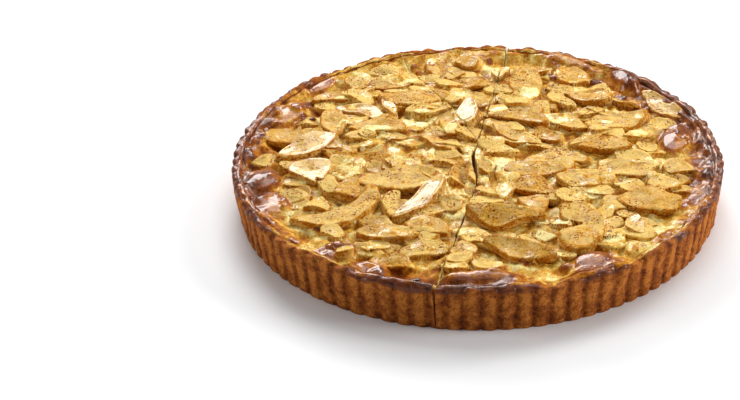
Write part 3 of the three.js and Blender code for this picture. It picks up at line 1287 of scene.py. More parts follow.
@dataclass(frozen=True)
class CompoteFinish(Finish):
    """Moist brown compote with paler fruit in it."""

    deep: Color = srgb(112, 62, 26)
    light: Color = srgb(206, 158, 92)
    lump_size: float = 7 * MM
    lump_depth: float = 0.8 * MM

    def fill(self, shader: Shader, body: bpy.types.Node) -> None:
        """Places the nodes of the compote.

        Args:
            shader: The material's nodes.
            body: The principled shader.
        """
        lumps = shader.cells(shader.place(), self.lump_size).outputs["Distance"]
        share = shader.span(lumps, 0.2, 0.5, 1, 0)
        shader.put(shader.mix(share, self.deep, self.light), body.inputs["Base Color"])
        shader.put(shader.bump(share, self.lump_depth, 0.5), body.inputs["Normal"])


APPLE = AppleFinish(
    "baked apple",
    roughness=0.6,
    juicy=0.1,
    specular=0.08,
    grain_rough=0.65,
    grain_depth=0.55 * MM,
    grain_strength=1,
    film_depth=1.1 * MM,
    film_strength=0.5,
    ripple_depth=0.7 * MM,
)
CUSTARD = CustardFinish(
    "baked custard", roughness=0.55, coat_roughness=0.08, juicy=0.1, specular=0.08
)
PASTRY = PastryFinish("baked shortcrust", roughness=0.86, specular=0.15)
COMPOTE = CompoteFinish("apple compote", roughness=0.5)


def dress(piece: Piece, finish: Finish, slot: Slot, *nodes: str) -> None:
    """Finishes a piece, lets it ride on the tart, and puts it in place of nodes.

    Args:
        piece: The piece.
        finish: Its finish.
        slot: The record's slot that it belongs to; not used.
        *nodes: The nodes that it stands for.
    """
    piece.data.materials.clear()
    piece.data.materials.append(finish.material())
    shade_smooth(piece)
    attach(piece, BODY)
    if nodes:
        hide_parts(*nodes)
    LOG.info("%s: %d faces", piece.name, len(piece.data.polygons))


# ---- Apple slices --------------------------------------------------------------------


@dataclass(frozen=True)
class AppleCut:
    """One cut of apple: where it lies in plan, its size in mm, and how it is turned."""

    at: tuple[float, float]
    long: float
    wide: float
    thick: float
    turn: float
    lean: float = 0
    pitch: float = 0
    lift: float = 0
    tone: float = 0.12
    wet: float = 0.52
    notch: float = 0
    crescent: float = 0

    def placed(self, sizes: TartSizes) -> Matrix:
        """Where the cut lies, on the custard at its middle.

        Args:
            sizes: The sizes of the tart.

        Returns:
            The matrix from the cut's own axes to the tart's.
        """
        x, y = self.at[0] * MM, self.at[1] * MM
        level = sizes.level(x, y) + self.lift * MM
        return (
            Matrix.Translation((x, y, level))
            @ Matrix.Rotation(math.radians(self.turn), 4, "Z")
            @ Matrix.Rotation(-math.radians(self.pitch), 4, "Y")
            @ Matrix.Rotation(math.radians(self.lean), 4, "X")
        )


SLICES = (
    AppleCut((-88, 79), 28, 12, 7, 5, 6, 0, 0.6, 0.2),
    AppleCut((-52, 98), 28, 13, 7, 0, 12, 0, 0.4, 0.15),
    AppleCut((-26, 112), 36, 15, 7, 110, 8, 4, 0.8, 0.2),
    AppleCut((-7, 122), 25, 15, 8, 92, -6, 6, 1.2, 0.3),
    AppleCut((-3, 97), 24, 11, 7, 4, 18, 0, 0.6, 0.3),
    AppleCut((-31, 60), 26, 12, 7, 10, 14, 0, 0.8, -0.1),
    AppleCut((-66, 62), 34, 13, 7, -28, 5, 6, 1.2, 0.1, 1.0),
    AppleCut((-88, 43), 34, 14, 7, 105, 5, 0, 0.8, 0.2),
    AppleCut((-109, 30), 34, 20, 7, -20, 4, 0, 1.0, 0.25, 0.4, 0.4),
    AppleCut((-55, 42), 33, 17, 9, -5, 8, 2, 1.6, 0.15, 0.3),
    AppleCut((-38, 80), 47, 18, 8, 2, 7, 0, 1.6, 0.2, 0.4),
    AppleCut((-24, 14), 30, 11, 8, 140, 20, 0, 0.6, 0.2),
    AppleCut((-17, 36), 24, 10, 8, 112, 12, 0, 0.4, 0.1),
    AppleCut((-7, 52), 32, 14, 8, 82, -10, 4, 1.6, 0.0, 1.2),
    AppleCut((-62, 8), 46, 12, 9, -8, 24, 0, 0.8, 0.3, 0.4),
    AppleCut((-96, 9), 40, 18, 7, 215, 2, -4, 1.8, 0.05, 1.2),
    AppleCut((-92, -19), 32, 22, 7, 205, 2, -4, 1.6, 0.0, 1.2, 0.3),
    AppleCut((-74, -36), 24, 14, 9, 100, 10, 0, 0.6, 0.35),
    AppleCut((-79, -54), 55, 14, 9, 34, 4, 2, 1.6, 0.1, 0.3),
    AppleCut((-41, -19), 44, 24, 8, -5, 6, 0, 1.8, 0.05, 0.3, 0.25),
    AppleCut((-12, -17), 28, 11, 8, 78, 38, 0, 0.6, 0.3),
    AppleCut((-49, -48), 26, 10, 8, 78, 24, 0, 0.4, -0.1),
    AppleCut((-22, -57), 26, 14, 7, 250, 10, 0, 0.4, 0.1),
    AppleCut((-33, -44), 46, 13, 8, 58, -8, 5, 2.0, 0.1, 1.2),
    AppleCut((-29, -93), 28, 13, 7, 14, 14, 0, 0.4, 0.0),
    AppleCut((-43, -106), 27, 11, 8, -8, 16, 0, 0.6, 0.35),
    AppleCut((-25, -73), 29, 16, 8, -24, 10, 0, 1.0, 0.2),
    AppleCut((-49, -78), 36, 15, 11, -5, 12, 2, 1.6, 0.15),
    AppleCut((23, 91), 50, 20, 8, 80, 5, 3, 1.4, 0.15, 0.3),
    AppleCut((57, 101), 29, 18, 8, 120, 6, 0, 1.0, 0.2),
    AppleCut((48, 71), 26, 13, 7, 108, 10, 0, 0.6, -0.1),
    AppleCut((70, 74), 29, 15, 11, -14, 12, 2, 1.4, 0.2),
    AppleCut((108, 60), 36, 13, 7, 124, -8, 0, 1.0, 0.1, 0.9),
    AppleCut((54, 46), 32, 13, 7, -30, 8, 0, 0.8, -0.05),
    AppleCut((85, 50), 42, 20, 7, 10, 5, 2, 1.2, 0.1, 0.5, 0.3),
    AppleCut((14, 28), 28, 11, 8, 115, 12, 0, 0.6, 0.15),
    AppleCut((27, 22), 26, 12, 8, -20, 10, 0, 1.0, -0.1),
    AppleCut((27, 49), 33, 13, 12, -15, 20, 2, 1.6, 0.2),
    AppleCut((46, 5), 34, 16, 7, 2, 7, 0, 0.8, 0.1),
    AppleCut((75, 17), 33, 16, 9, -5, 8, 0, 1.4, 0.2, 0.3, 0.3),
    AppleCut((30, -9), 43, 13, 11, -14, 20, 0, 1.4, 0.2),
    AppleCut((82, -8), 37, 17, 7, -5, 6, 0, 1.0, 0.05),
    AppleCut((57, -24), 31, 16, 8, -10, 8, 0, 1.2, 0.15),
    AppleCut((33, -29), 27, 17, 9, -20, 10, 0, 1.0, 0.3),
    AppleCut((99, -42), 42, 25, 8, -15, 5, 0, 1.6, 0.2, 0.3),
    AppleCut((29, -50), 20, 17, 8, 80, 6, 0, 0.8, 0.25),
    AppleCut((47, -75), 52, 22, 9, 90, 3, 0, 1.6, 0.15, 0.4, 0.8),
    AppleCut((14, -88), 26, 10, 8, -5, 12, 0, 0.4, -0.15),
    AppleCut((12, -73), 38, 14, 9, 173, -10, 0, 2.4, 0.3, 0.4, 0, 0.9),
    AppleCut((21, -103), 36, 14, 9, 162, -8, 0, 1.6, 0.3, 0.5, 0, 0.5),
)

BITS = (
    AppleCut((-51, 62), 20, 7, 5, -65, 4, 0, 1.6, 0.0, 1.0),
    AppleCut((-83, 15), 12, 8, 6, 30, 6, 0, 1.4, 0.1, 1.0),
    AppleCut((-65, 27), 13, 9, 7, 10, 4, 0, 1.6, -0.3),
    AppleCut((-87, -49), 15, 12, 8, -10, 4, 0, 1.6, -0.15),
    AppleCut((-40, -3), 24, 10, 7, -12, 14, 0, 0.8, -0.2),
    AppleCut((-55, -92), 17, 10, 7, 20, 10, 0, 1.4, -0.2),
    AppleCut((-69, -103), 11, 8, 7, 10, 6, 0, 1.8, -0.15),
    AppleCut((14, 107), 16, 9, 6, 60, 4, 0, 1.2, -0.1, 0.9),
    AppleCut((40, 109), 15, 10, 7, 30, 6, 0, 1.2, 0.25),
    AppleCut((55, 87), 28, 9, 7, -10, 16, 0, 1.0, 0.0),
    AppleCut((67, 56), 18, 11, 6, 20, 8, 0, 1.0, -0.1),
    AppleCut((25, 69), 18, 12, 7, -20, 6, 0, 1.2, -0.25),
    AppleCut((42, 25), 22, 9, 7, -35, 16, 0, 1.2, 0.3),
    AppleCut((94, 28), 20, 10, 6, 15, 6, 0, 1.4, -0.2),
    AppleCut((15, 8), 17, 10, 7, -8, 6, 0, 1.6, -0.25),
    AppleCut((98, 12), 16, 9, 6, -15, 6, 0, 1.2, -0.2),
    AppleCut((5, -12), 18, 10, 8, 60, 22, 0, 1.0, 0.1),
    AppleCut((68, -36), 22, 10, 6, -12, 8, 0, 1.0, -0.2),
    AppleCut((15, -35), 18, 10, 7, 62, 10, 0, 1.0, -0.1, 0.8),
    AppleCut((28, -89), 15, 8, 7, -40, 10, 0, 1.4, -0.15),
    AppleCut((52, -43), 22, 13, 7, -14, 6, 0, 1.2, -0.25),
    AppleCut((-13, -112), 17, 9, 6, 10, 8, 0, 1.4, -0.2),
    AppleCut((5, -110), 20, 9, 6, -6, 10, 0, 1.4, -0.2),
    AppleCut((83, -94), 14, 9, 7, 30, 8, 0, 1.2, -0.2),
    AppleCut((84, -72), 20, 11, 7, 100, 8, 0, 0.8, -0.15, 0.8),
    AppleCut((70, -58), 17, 9, 6, 60, 8, 0, 0.8, -0.2),
    AppleCut((-8, -97), 20, 12, 7, 70, 12, 0, 0.8, 0.2),
    AppleCut((-13, 75), 20, 10, 7, 60, 10, 0, 0.8, -0.1),
    AppleCut((-72, 84), 20, 9, 6, 30, 10, 0, 0.8, 0.1),
    AppleCut((-14, 104), 15, 8, 6, 30, 8, 0, 1.0, 0.1),
)


@dataclass
class AppleShaper:
    """Models cuts of apple: bent, thick at the round back, with soft edges."""

    sizes: TartSizes
    grid: int = 24
    radius: float = 31 * MM
    core_thinness: float = 0.5
    end_thinness: float = 0.78
    face_flatness: float = 15.0
    bluntness: float = 3.0
    moon: float = 0.6
    overlap: float = 1.1
    chops: int = 3
    chop_reach: tuple[float, float] = (0.74, 1.0)
    corner_sharpness: float = 14.0
    lip: float = 0.45 * MM
    lip_span: Span = (0.6, 0.93)
    side_span: Span = (0.86, 0.96)
    top_span: Span = (-0.2, 0.6)
    end_spread: float = 0.45
    crescent_points: float = 0.6
    moon_spread: float = 0.5
    outline_waves: tuple[tuple[float, float, int], ...] = ((0.04, 0.9, 0), (0.018, 0.3, 7))
    lopsided: float = 0.16
    widest_turn: float = 0.98
    notch_half: float = 0.3
    notch_depth: float = 0.4
    slack: float = 0.85 * MM
    slack_size: float = 8 * MM
    low_span: Span = (2.2 * MM, -0.4 * MM)
    flat_to_steep: Span = (0.8, 0.15)
    template: Piece | None = None

    def block(self) -> Piece:
        """The finely divided block that every cut is shaped from.

        Returns:
            The block, made when it is first asked for.
        """
        if self.template is None:
            deselect_all()
            bpy.ops.mesh.primitive_cube_add(size=2)
            self.template = bpy.context.object
            self.template.name = "apple block"
            bpy.ops.object.mode_set(mode="EDIT")
            bpy.ops.mesh.select_all(action="SELECT")
            bpy.ops.mesh.subdivide(number_cuts=self.grid)
            bpy.ops.object.mode_set(mode="OBJECT")
            self.template.hide_render = True
        return self.template

    def shape(self, cut: AppleCut, name: str, seed: int) -> Piece:
        """Models one cut of apple in its place.

        Args:
            cut: The cut.
            name: The piece's name.
            seed: The seed of its unevenness.

        Returns:
            The piece.
        """
        piece = bpy.data.objects.new(name, self.block().data.copy())
        bpy.context.scene.collection.objects.link(piece)
        points, side = self.body(cut, seed)
        turned = np.array(cut.placed(self.sizes))
        points = points @ turned[:3, :3].T + turned[:3, 3]
        set_coords(piece, points)
        count = len(points)
        paint(piece, "edge", side)
        paint(piece, "tone", np.full(count, cut.tone))
        paint(piece, "wet", np.full(count, cut.wet))
        return piece

    def mark(self, piece: Piece) -> None:
        """Stores where a cut piece lies low in the custard, which the finish paints in shade, and where
        it is steep.

        Args:
            piece: The piece.
        """
        points = coords(piece)
        level = self.sizes.custard_at(points[:, 0], points[:, 1])
        paint(piece, "low", smoothstep(*self.low_span, points[:, 2] - level))
        paint(piece, "steep", smoothstep(*self.flat_to_steep, facing_up(piece)))

    def body(self, cut: AppleCut, seed: int) -> tuple[Array, Array]:
        """The cut's corners in its own axes, and how far each is on its side.

        Args:
            cut: The cut.
            seed: The seed of its unevenness.

        Returns:
            Rows of x, y, z, and a share for each row.
        """
        block = coords(self.block())
        across, up, high = block.T
        flat_x = across * np.sqrt(1 - up * up / 2)
        flat_y = up * np.sqrt(1 - across * across / 2)
        reach = np.hypot(flat_x, flat_y)
        angle = np.arctan2(flat_y, flat_x)
        power = self.face_flatness
        size = (reach**power + np.abs(high) ** power) ** (1 / power)
        reach, high = reach / size, high / size
        rng = np.random.default_rng(seed)
        draw = rng.uniform(-1, 1, 3)
        power = self.bluntness + self.end_spread * draw[0] - self.crescent_points * cut.crescent
        moon = self.moon + self.moon_spread * draw[2] + cut.crescent
        cosine, sine = np.abs(np.cos(angle)), np.abs(np.sin(angle))
        blunt = self.chopped(angle, (cosine**power + sine**power) ** (-1 / power), rng)
        ring = np.stack([np.cos(angle), np.sin(angle), 0.3 * high], axis=1)
        waves = self.outline_waves
        blunt *= 1 + sum(deep * Ripple(broad, seed + more).at(ring) for deep, broad, more in waves)
        x = reach * np.cos(angle) * blunt
        y = reach * np.sin(angle) * blunt * (1 + self.lopsided * draw[1] * x)
        wide = cut.wide * MM * self.overlap
        half_sine = cut.long * MM * self.overlap / 2 / self.radius
        half_turn = math.asin(min(self.widest_turn, half_sine))
        hollow = np.exp(-((x / self.notch_half) ** 2)) * np.clip(0.5 - y, 0, 1.5)
        hollow *= cut.notch * self.notch_depth
        out = self.radius - wide / 2 * (1 - y) + (moon * x * x * 0.5 + hollow) * wide
        sag = self.radius * (1 - math.cos(half_turn))
        centre = self.radius - (wide + sag) / 2
        thin = self.core_thinness + (1 - self.core_thinness) * np.clip((y + 1) / 2, 0, 1) ** 0.8
        thin *= 1 - (1 - self.end_thinness) * x * x
        points = np.empty_like(block)
        points[:, 0] = out * np.sin(x * half_turn)
        points[:, 1] = centre - out * np.cos(x * half_turn)
        lip = self.lip * smoothstep(*self.lip_span, reach) * np.maximum(0, high) ** 3
        points[:, 2] = high * thin * cut.thick * MM / 2 + lip
        slack = np.stack([points[:, 0], points[:, 1], np.zeros(len(points))], axis=1)
        points[:, 2] += self.slack * Ripple(self.slack_size, seed + 1).at(slack)
        return points, smoothstep(*self.side_span, reach) * smoothstep(*self.top_span, high)

    def chopped(self, angle: Array, radius: Array, rng: np.random.Generator) -> Array:
        """Cuts straight facets off an outline, as a knife does.

        Args:
            angle: The direction of each corner in plan.
            radius: The outline's radius in that direction.
            rng: The seeded draw.

        Returns:
            The new radius.
        """
        sharp = self.corner_sharpness
        rest = radius**-sharp
        for _ in range(self.chops):
            toward = rng.uniform(0, 2 * math.pi)
            near = rng.uniform(*self.chop_reach)
            facing = np.maximum(np.cos(angle - toward), 0)
            rest += (facing / near) ** sharp
        return rest ** (-1 / sharp)


@dataclass
class AppleSlices:
    """The large apple slices, each in the place of its solid."""

    nodes: dict[str, Piece]
    cuts: KnifeCuts
    shaper: AppleShaper
    least_corners: int = 500
    seed: int = 110
    swell_size: float = 6 * MM
    swell: float = 1.0 * MM
    wet_swell: float = 0.4 * MM
    wrinkle_size: float = 1.7 * MM
    wrinkle: float = 0.3 * MM
    pieces: list[Piece] = field(default_factory=list)

    def build(self) -> None:
        """Makes every slice."""
        swell = baked_noise("slice swell", self.swell_size, 2)
        wrinkle = baked_noise("slice wrinkles", self.wrinkle_size, 2)
        for number, cut in enumerate(SLICES):
            piece = self.shaper.shape(cut, f"baked_slice_{number + 1:02d}", self.seed + number)
            displace(piece, swell, self.swell if cut.wet < 1 else self.wet_swell)
            displace(piece, wrinkle, self.wrinkle)
            self.pieces.extend(self.cuts.parted(piece, self.least_corners))
        taken = self.nodes_by_piece()
        for piece in self.pieces:
            self.shaper.mark(piece)
            dress(piece, APPLE, Slot.APPLE, *taken.get(piece.name, []))

    def nodes_by_piece(self) -> dict[str, list[str]]:
        """Which solids each piece stands for: every solid goes to the nearest piece.

        Returns:
            The names of the solids by the name of the piece.
        """
        middles = {piece.name: coords(piece).mean(axis=0) for piece in self.pieces}
        taken: dict[str, list[str]] = {}
        for name in sorted(n for n in self.nodes if n.startswith("apple_slice_")):
            place = coords(self.nodes[name]).mean(axis=0)
            nearest = min(middles, key=lambda key: float(np.linalg.norm(middles[key] - place)))
            taken.setdefault(nearest, []).append(name)
        return taken


# ---- Small apple pieces --------------------------------------------------------------


@dataclass
class AppleBits:
    """Small apple pieces in the gaps between the large slices, some listed, some drawn."""

    sizes: TartSizes
    cuts: KnifeCuts
    slices: list[Piece]
    step: float = 14.5 * MM
    seed: int = 4
    reach: float = 121 * MM
    bend: float = 26 * MM
    chunk_grid: int = 15
    bit_grid: int = 9
    bluntness: float = 3.2
    moon: float = 0.25
    first_shape: int = 400
    swell_size: float = 4 * MM
    swell: float = 0.9 * MM
    shift: float = 0.42
    lengths: tuple[float, float] = (14, 27)
    clear: float = 0.5 * MM
    pieces: list[Piece] = field(default_factory=list)

    def build(self) -> None:
        """Makes the bits and joins them to one piece for each kind."""
        rng = np.random.default_rng(self.seed)
        self.kind("apple_chunks", BITS, self.chunk_grid)
        self.kind("apple_bits", self.drawn(rng), self.bit_grid)

    def kind(self, name: str, cuts: tuple[AppleCut, ...], grid: int) -> None:
        """Makes the bits of one kind.

        Args:
            name: The name of their piece.
            cuts: The bits.
            grid: How finely each is divided.
        """
        bend = {"radius": self.bend, "bluntness": self.bluntness, "moon": self.moon}
        shaper = AppleShaper(self.sizes, grid=grid, **bend)
        made = []
        for cut in cuts:
            piece = shaper.shape(cut, f"bit_{len(made):03d}", self.first_shape + 2 * len(made))
            made.extend(self.cuts.parted(piece, grid * grid))
        bpy.data.objects.remove(shaper.block())
        whole = join(made, name)
        displace(whole, baked_noise(f"{name} swell", self.swell_size, 2), self.swell)
        shaper.mark(whole)
        dress(whole, APPLE, Slot.APPLE)
        self.pieces.append(whole)

    def on_blister(self, x: float, y: float) -> bool:
        """Whether a place lies on a blister."""
        here = np.array([x]), np.array([y])
        return any(blister.rest_at(*here)[0] > 0 for blister in BLISTERS)

    def drawn(self, rng: np.random.Generator) -> tuple[AppleCut, ...]:
        """Bits drawn at random where no large slice lies.

        Args:
            rng: The seeded draw.

        Returns:
            The bits.
        """
        tree = surface_of(self.slices)
        found = []
        count = int(self.reach / self.step)
        for row in range(-count, count + 1):
            for column in range(-count, count + 1):
                shift = rng.uniform(-self.shift, self.shift, 2) * self.step
                x = (column + 0.5 * (row % 2)) * self.step + shift[0]
                y = row * self.step * 0.87 + shift[1]
                long = rng.uniform(*self.lengths)
                draw = rng.uniform(size=6)
                if math.hypot(x, y) > self.reach or self.on_blister(x, y):
                    continue
                top = height_above(tree, x, y)
                if top is not None and top > self.sizes.level(x, y) + self.clear:
                    continue
                found.append(
                    AppleCut(
                        at=(x / MM, y / MM),
                        long=long,
                        wide=long * (0.42 + 0.24 * draw[0]),
                        thick=5 + 3 * draw[1],
                        turn=180 * round(draw[2]) - 12 + rng.normal() * 26,
                        lean=-8 + 26 * draw[3],
                        lift=-1.4 + 2.0 * draw[4],
                        tone=-0.5 + 0.6 * draw[5],
                        wet=0.5,
                    )
                )
        return tuple(found)


def surface_of(pieces: list[Piece]) -> BVHTree:
    """The surface of several pieces, for measuring.

    Args:
        pieces: Mesh pieces.

    Returns:
        The tree of their faces.
    """
    copies = []
    for piece in pieces:
        copy = bpy.data.objects.new("part", piece.data.copy())
        bpy.context.scene.collection.objects.link(copy)
        copies.append(copy)
    whole = join(copies, "joined copy")
    tree = BVHTree.FromObject(whole, bpy.context.evaluated_depsgraph_get())
    bpy.data.objects.remove(whole)
    return tree


def height_above(tree: BVHTree, x: float, y: float) -> float | None:
    """The height of a surface's highest face at a place, or None where it has none."""
    hit = tree.ray_cast(Vector((x, y, OVERHEAD)), Vector((0, 0, -1)))[0]
    return None if hit is None else hit.z


def join(pieces: list[Piece], name: str) -> Piece:
    """Joins pieces into one.

    Args:
        pieces: Mesh pieces.
        name: The name of the result.

    Returns:
        The joined piece.
    """
    deselect_all()
    for piece in pieces:
        piece.select_set(True)
    bpy.context.view_layer.objects.active = pieces[0]
    bpy.ops.object.join()
    pieces[0].name = name
    return pieces[0]


# ---- Custard -------------------------------------------------------------------------


@dataclass
class Custard:
    """The baked custard, which clings to the slices and blisters near the rim."""

    sizes: TartSizes
    cuts: KnifeCuts
    fruit: list[Piece]
    case: Piece
    steps: int = 340
    seed: int = 23
    reach: float = 139 * MM
    ring_start: float = 104 * MM
    ring_end: float = 130 * MM
    lump_size: float = 3.4 * MM
    lump: float = 0.7 * MM
    fold_size: float = 6.5 * MM
    fold: float = 0.8 * MM
    inner_field: Span = (124 * MM, 112 * MM)
    settle: float = 0.7 * MM
    placed_rise: float = 0.2
    blister_span: Span = (0.0, 0.3)
    beside_blister: Span = (0.3, 0.0)
    blister_brown: Span = (0.0, 0.55)
    blister_calm: float = 0.75
    calm_span: Span = (116 * MM, 128 * MM)
    ring_calm: float = 0.5
    field_brown: float = 0.14
    ring_brown: float = 0.8
    fold_pale: float = 0.1
    brim_drop: float = 1.2 * MM
    brim_fold: float = 0.6 * MM
    brim_lump: float = 0.3 * MM
    fold_brown: float = 0.18
    lump_brown: float = 0.1
    wall_span: Span = (123 * MM, 134 * MM)
    wall_fold: float = 2.4 * MM
    wall_brown: Span = (0.3, 0.95)
    thin_wet: float = 0.54
    browned_span: Span = (0.4, 0.8)
    browned_wet: float = 0.3
    fold_wet: float = 0.1
    blister_wet: float = 1.05
    gloss_radius: Span = (125 * MM, 130 * MM)
    gloss_tone: Span = (0.5, 0.8)
    gloss_wet: float = 1.1
    front_span: Span = (-100 * MM, -122 * MM)
    left_span: Span = (-70 * MM, -110 * MM)
    left_share: float = 0.7
    dulling: float = 0.4
    cling_rise: float = 1.0 * MM
    cling_reach: float = 1.3 * MM
    cling_search: float = 6 * MM
    # browner by the fruit: syrup that gathers there, and painted shade at the fruit's foot
    cling_syrup_and_shade: float = 0.52
    cling_lump: float = 0.3
    wash_size: float = 11 * MM
    wash_film: float = 0.3 * MM
    wash_fade: float = 0.24 / MM
    wash_depth: float = 2.4 * MM
    wash_least: float = 0.1
    wash_edge: float = 0.35
    touching: float = 0.2 * MM
    under_fruit: float = 0.5 * MM
    small_blisters: int = 44
    small_radii: tuple[float, float] = (108, 130)
    small_halves: tuple[float, float] = (2.2, 6.5)
    small_rises: tuple[float, float] = (1.0, 2.4)
    small_tones: tuple[float, float] = (0.5, 0.9)
    skin: float = 0.7 * MM
    skin_edge: float = 2.6 * MM
    skin_dip: float = 0.5 * MM
    lap: float = 1.6 * MM
    spill_lap: float = 3.0 * MM
    lap_ragged: float = 0.9 * MM
    lap_size: float = 5 * MM
    lap_margin: float = 1.2 * MM
    least_crust: float = 20 * MM
    wall_inset: float = 0.2 * MM
    wall_drop: float = 3.2 * MM
    foot_gap: float = 1.1 * MM
    pale_patches: tuple[tuple[tuple[float, float], tuple[float, float], float], ...] = (
        ((95, -78), (22, 17), 0.5),
        ((40, -127), (7, 6), 0.6),
        ((90, -104), (9, 7), 0.5),
        ((-98, -68), (14, 12), 0.3),
        ((-66, 26), (9, 7), 0.4),
        ((104, 8), (12, 8), 0.4),
        ((25, 68), (12, 8), 0.3),
        ((-20, 64), (16, 10), 0.3),
    )
    overflows: tuple[tuple[float, float, float], ...] = (
        (-93, 22, 1.0),
        (-60, 12, 0.9),
        (-22, 14, 0.7),
        (6, 24, 1.0),
        (48, 18, 0.9),
        (80, 10, 0.4),
        (118, 12, 0.5),
        (165, 14, 0.6),
        (198, 14, 0.8),
        (222, 10, 0.5),
    )

    def build(self) -> dict[Side, Piece]:
        """Makes the custard's portions.

        Returns:
            The portions by their side.
        """
        disc = self.disc()
        portions = self.cuts.split(disc, "baked_custard")
        for side, piece in portions.items():
            points = coords(piece)
            level = self.sizes.custard_at(points[:, 0], points[:, 1])
            # the depth below the custard's level, which the finish paints as shade
            paint(piece, "sunk", level - points[:, 2])
            dress(piece, CUSTARD, Slot.CUSTARD, f"custard_{side.value}")
        return portions

    def disc(self) -> Piece:
        """The custard before it is cut: a fine disc with its relief and a flat foot.

        Returns:
            The closed disc.
        """
        deselect_all()
        steps = self.steps
        bpy.ops.mesh.primitive_grid_add(x_subdivisions=steps, y_subdivisions=steps, size=2)
        piece = bpy.context.object
        piece.name = "custard disc"
        points = coords(piece)
        across, along = points[:, 0].copy(), points[:, 1].copy()
        reach = np.maximum(np.abs(across), np.abs(along))
        flat = np.hypot(across, along)
        squeeze = np.where(flat > 0, reach / np.maximum(flat, 1e-9), 0)
        points[:, 0] = across * squeeze * self.reach
        points[:, 1] = along * squeeze * self.reach
        points[:, 2], marks = self.relief(points)
        set_coords(piece, points)
        for name, values in marks.items():
            paint(piece, name, values)
        self.close(piece)
        return piece

    def close(self, piece: Piece) -> None:
        """Gives the disc a wall and a flat foot.

        Args:
            piece: The open disc.
        """
        activate(piece)
        bpy.ops.object.mode_set(mode="EDIT")
        bpy.ops.mesh.select_mode(type="EDGE")
        bpy.ops.mesh.select_all(action="DESELECT")
        bpy.ops.mesh.select_non_manifold()
        for _ in range(2):
            bpy.ops.mesh.extrude_region_move(TRANSFORM_OT_translate={"value": (0, 0, -MM)})
        bpy.ops.mesh.edge_face_add()
        bpy.ops.object.mode_set(mode="OBJECT")
        points = coords(piece)
        grid = (self.steps + 1) ** 2
        under = slice(grid, grid + 4 * self.steps)
        foot = slice(grid + 4 * self.steps, None)
        inner = self.sizes.inner_rim_radius - self.wall_inset
        points[under, :2] *= inner / self.reach
        points[under, 2] = self.sizes.rim_height - self.wall_drop
        low = self.sizes.compote_top + self.foot_gap
        points[foot, :2] *= self.sizes.inner_radius(low) / self.reach
        points[foot, 2] = low
        set_coords(piece, points)
        activate(piece)
        bpy.ops.object.mode_set(mode="EDIT")
        bpy.ops.mesh.select_all(action="SELECT")
        bpy.ops.mesh.normals_make_consistent(inside=False)
        bpy.ops.object.mode_set(mode="OBJECT")

    def relief(self, points: Array) -> tuple[Array, dict[str, Array]]:
        """The height of the custard, how brown it is, with the painted shade by the fruit, and how wet
        it is.

        Args:
            points: Rows of x, y, z, of which x and y are read.

        Returns:
            The heights, and the values to store by name.
        """
        x, y, _ = points.T
        radius = np.hypot(x, y)
        flat = points * (1, 1, 0)
        outer = smoothstep(self.ring_start, self.ring_end, radius)
        inner = smoothstep(*self.inner_field, radius)
        lumps = Ripple(self.lump_size, self.seed).at(flat)
        folds = Ripple(self.fold_size, self.seed + 1).at(flat)
        level = self.sizes.custard_at(x, y)
        on_blister = np.max([blister.rest_at(x, y) for blister in BLISTERS], axis=0)
        smooth = 1 - self.blister_calm * smoothstep(*self.blister_span, on_blister)
        calm = 1 - self.ring_calm * smoothstep(*self.calm_span, radius)
        level += smooth * calm * (self.lump * lumps + self.fold * folds)
        level -= self.settle * inner
        tone = RingTone().at(x, y)
        browning_and_shade = self.field_brown + (tone * self.ring_brown - self.field_brown) * outer
        browning_and_shade -= self.fold_pale * folds
        for blister in BLISTERS + self.drawn_blisters():
            rest = blister.rest_at(x, y)
            level += blister.rise_at(x, y) * (self.placed_rise if blister in BLISTERS else 1)
            browning_and_shade = np.maximum(browning_and_shade, blister.tone * smoothstep(*self.blister_brown, rest))
        for at, half, share in self.pale_patches:
            away = ((x / MM - at[0]) / half[0]) ** 2 + ((y / MM - at[1]) / half[1]) ** 2
            browning_and_shade -= share * np.exp(-away)
        wall = smoothstep(*self.wall_span, radius + self.wall_fold * folds)
        drop = self.brim_drop - self.brim_fold * folds - self.brim_lump * lumps
        brim = self.sizes.rim_at(x, y) - drop
        level += wall * np.maximum(0, brim - level)
        patchy = tone + self.fold_brown * folds + self.lump_brown * lumps
        browning_and_shade = np.maximum(browning_and_shade, patchy * smoothstep(*self.wall_brown, wall))
        thin = self.thin_wet + self.browned_wet * smoothstep(*self.browned_span, browning_and_shade)
        thin += self.fold_wet * folds
        wet = self.wetness(x, y, thin, on_blister)
        level, cling = self.cling(flat, level)
        # browner where the custard clings to the fruit: syrup that gathers there, and painted shade at
        # the fruit's foot
        browning_and_shade += cling * (self.cling_syrup_and_shade + self.cling_lump * lumps) * inner
        return self.over_rim(flat, level), {"browning_and_shade": browning_and_shade, "wet": wet}

    def wetness(self, x: Array, y: Array, thin: Array, on_blister: Array) -> Array:
        """Where the glaze lies thick: on blisters and on the dark ring, apart from its front.

        Args:
            x: Places along X.
            y: Places along Y.
            thin: How wet each place is without them.
            on_blister: The share of a blister's reach that is left there.

        Returns:
            The wetness at each place.
        """
        ring = smoothstep(*self.gloss_radius, np.hypot(x, y))
        glossy = ring * smoothstep(*self.gloss_tone, RingTone().at(x, y))
        wet = np.maximum(thin, self.blister_wet * smoothstep(*self.blister_span, on_blister))
        front = smoothstep(*self.front_span, y)
        left = smoothstep(*self.left_span, x)
        dull = np.maximum(front, self.left_share * left)
        dull *= self.dulling * smoothstep(*self.beside_blister, on_blister)
        return np.maximum(wet, self.gloss_wet * glossy) - dull

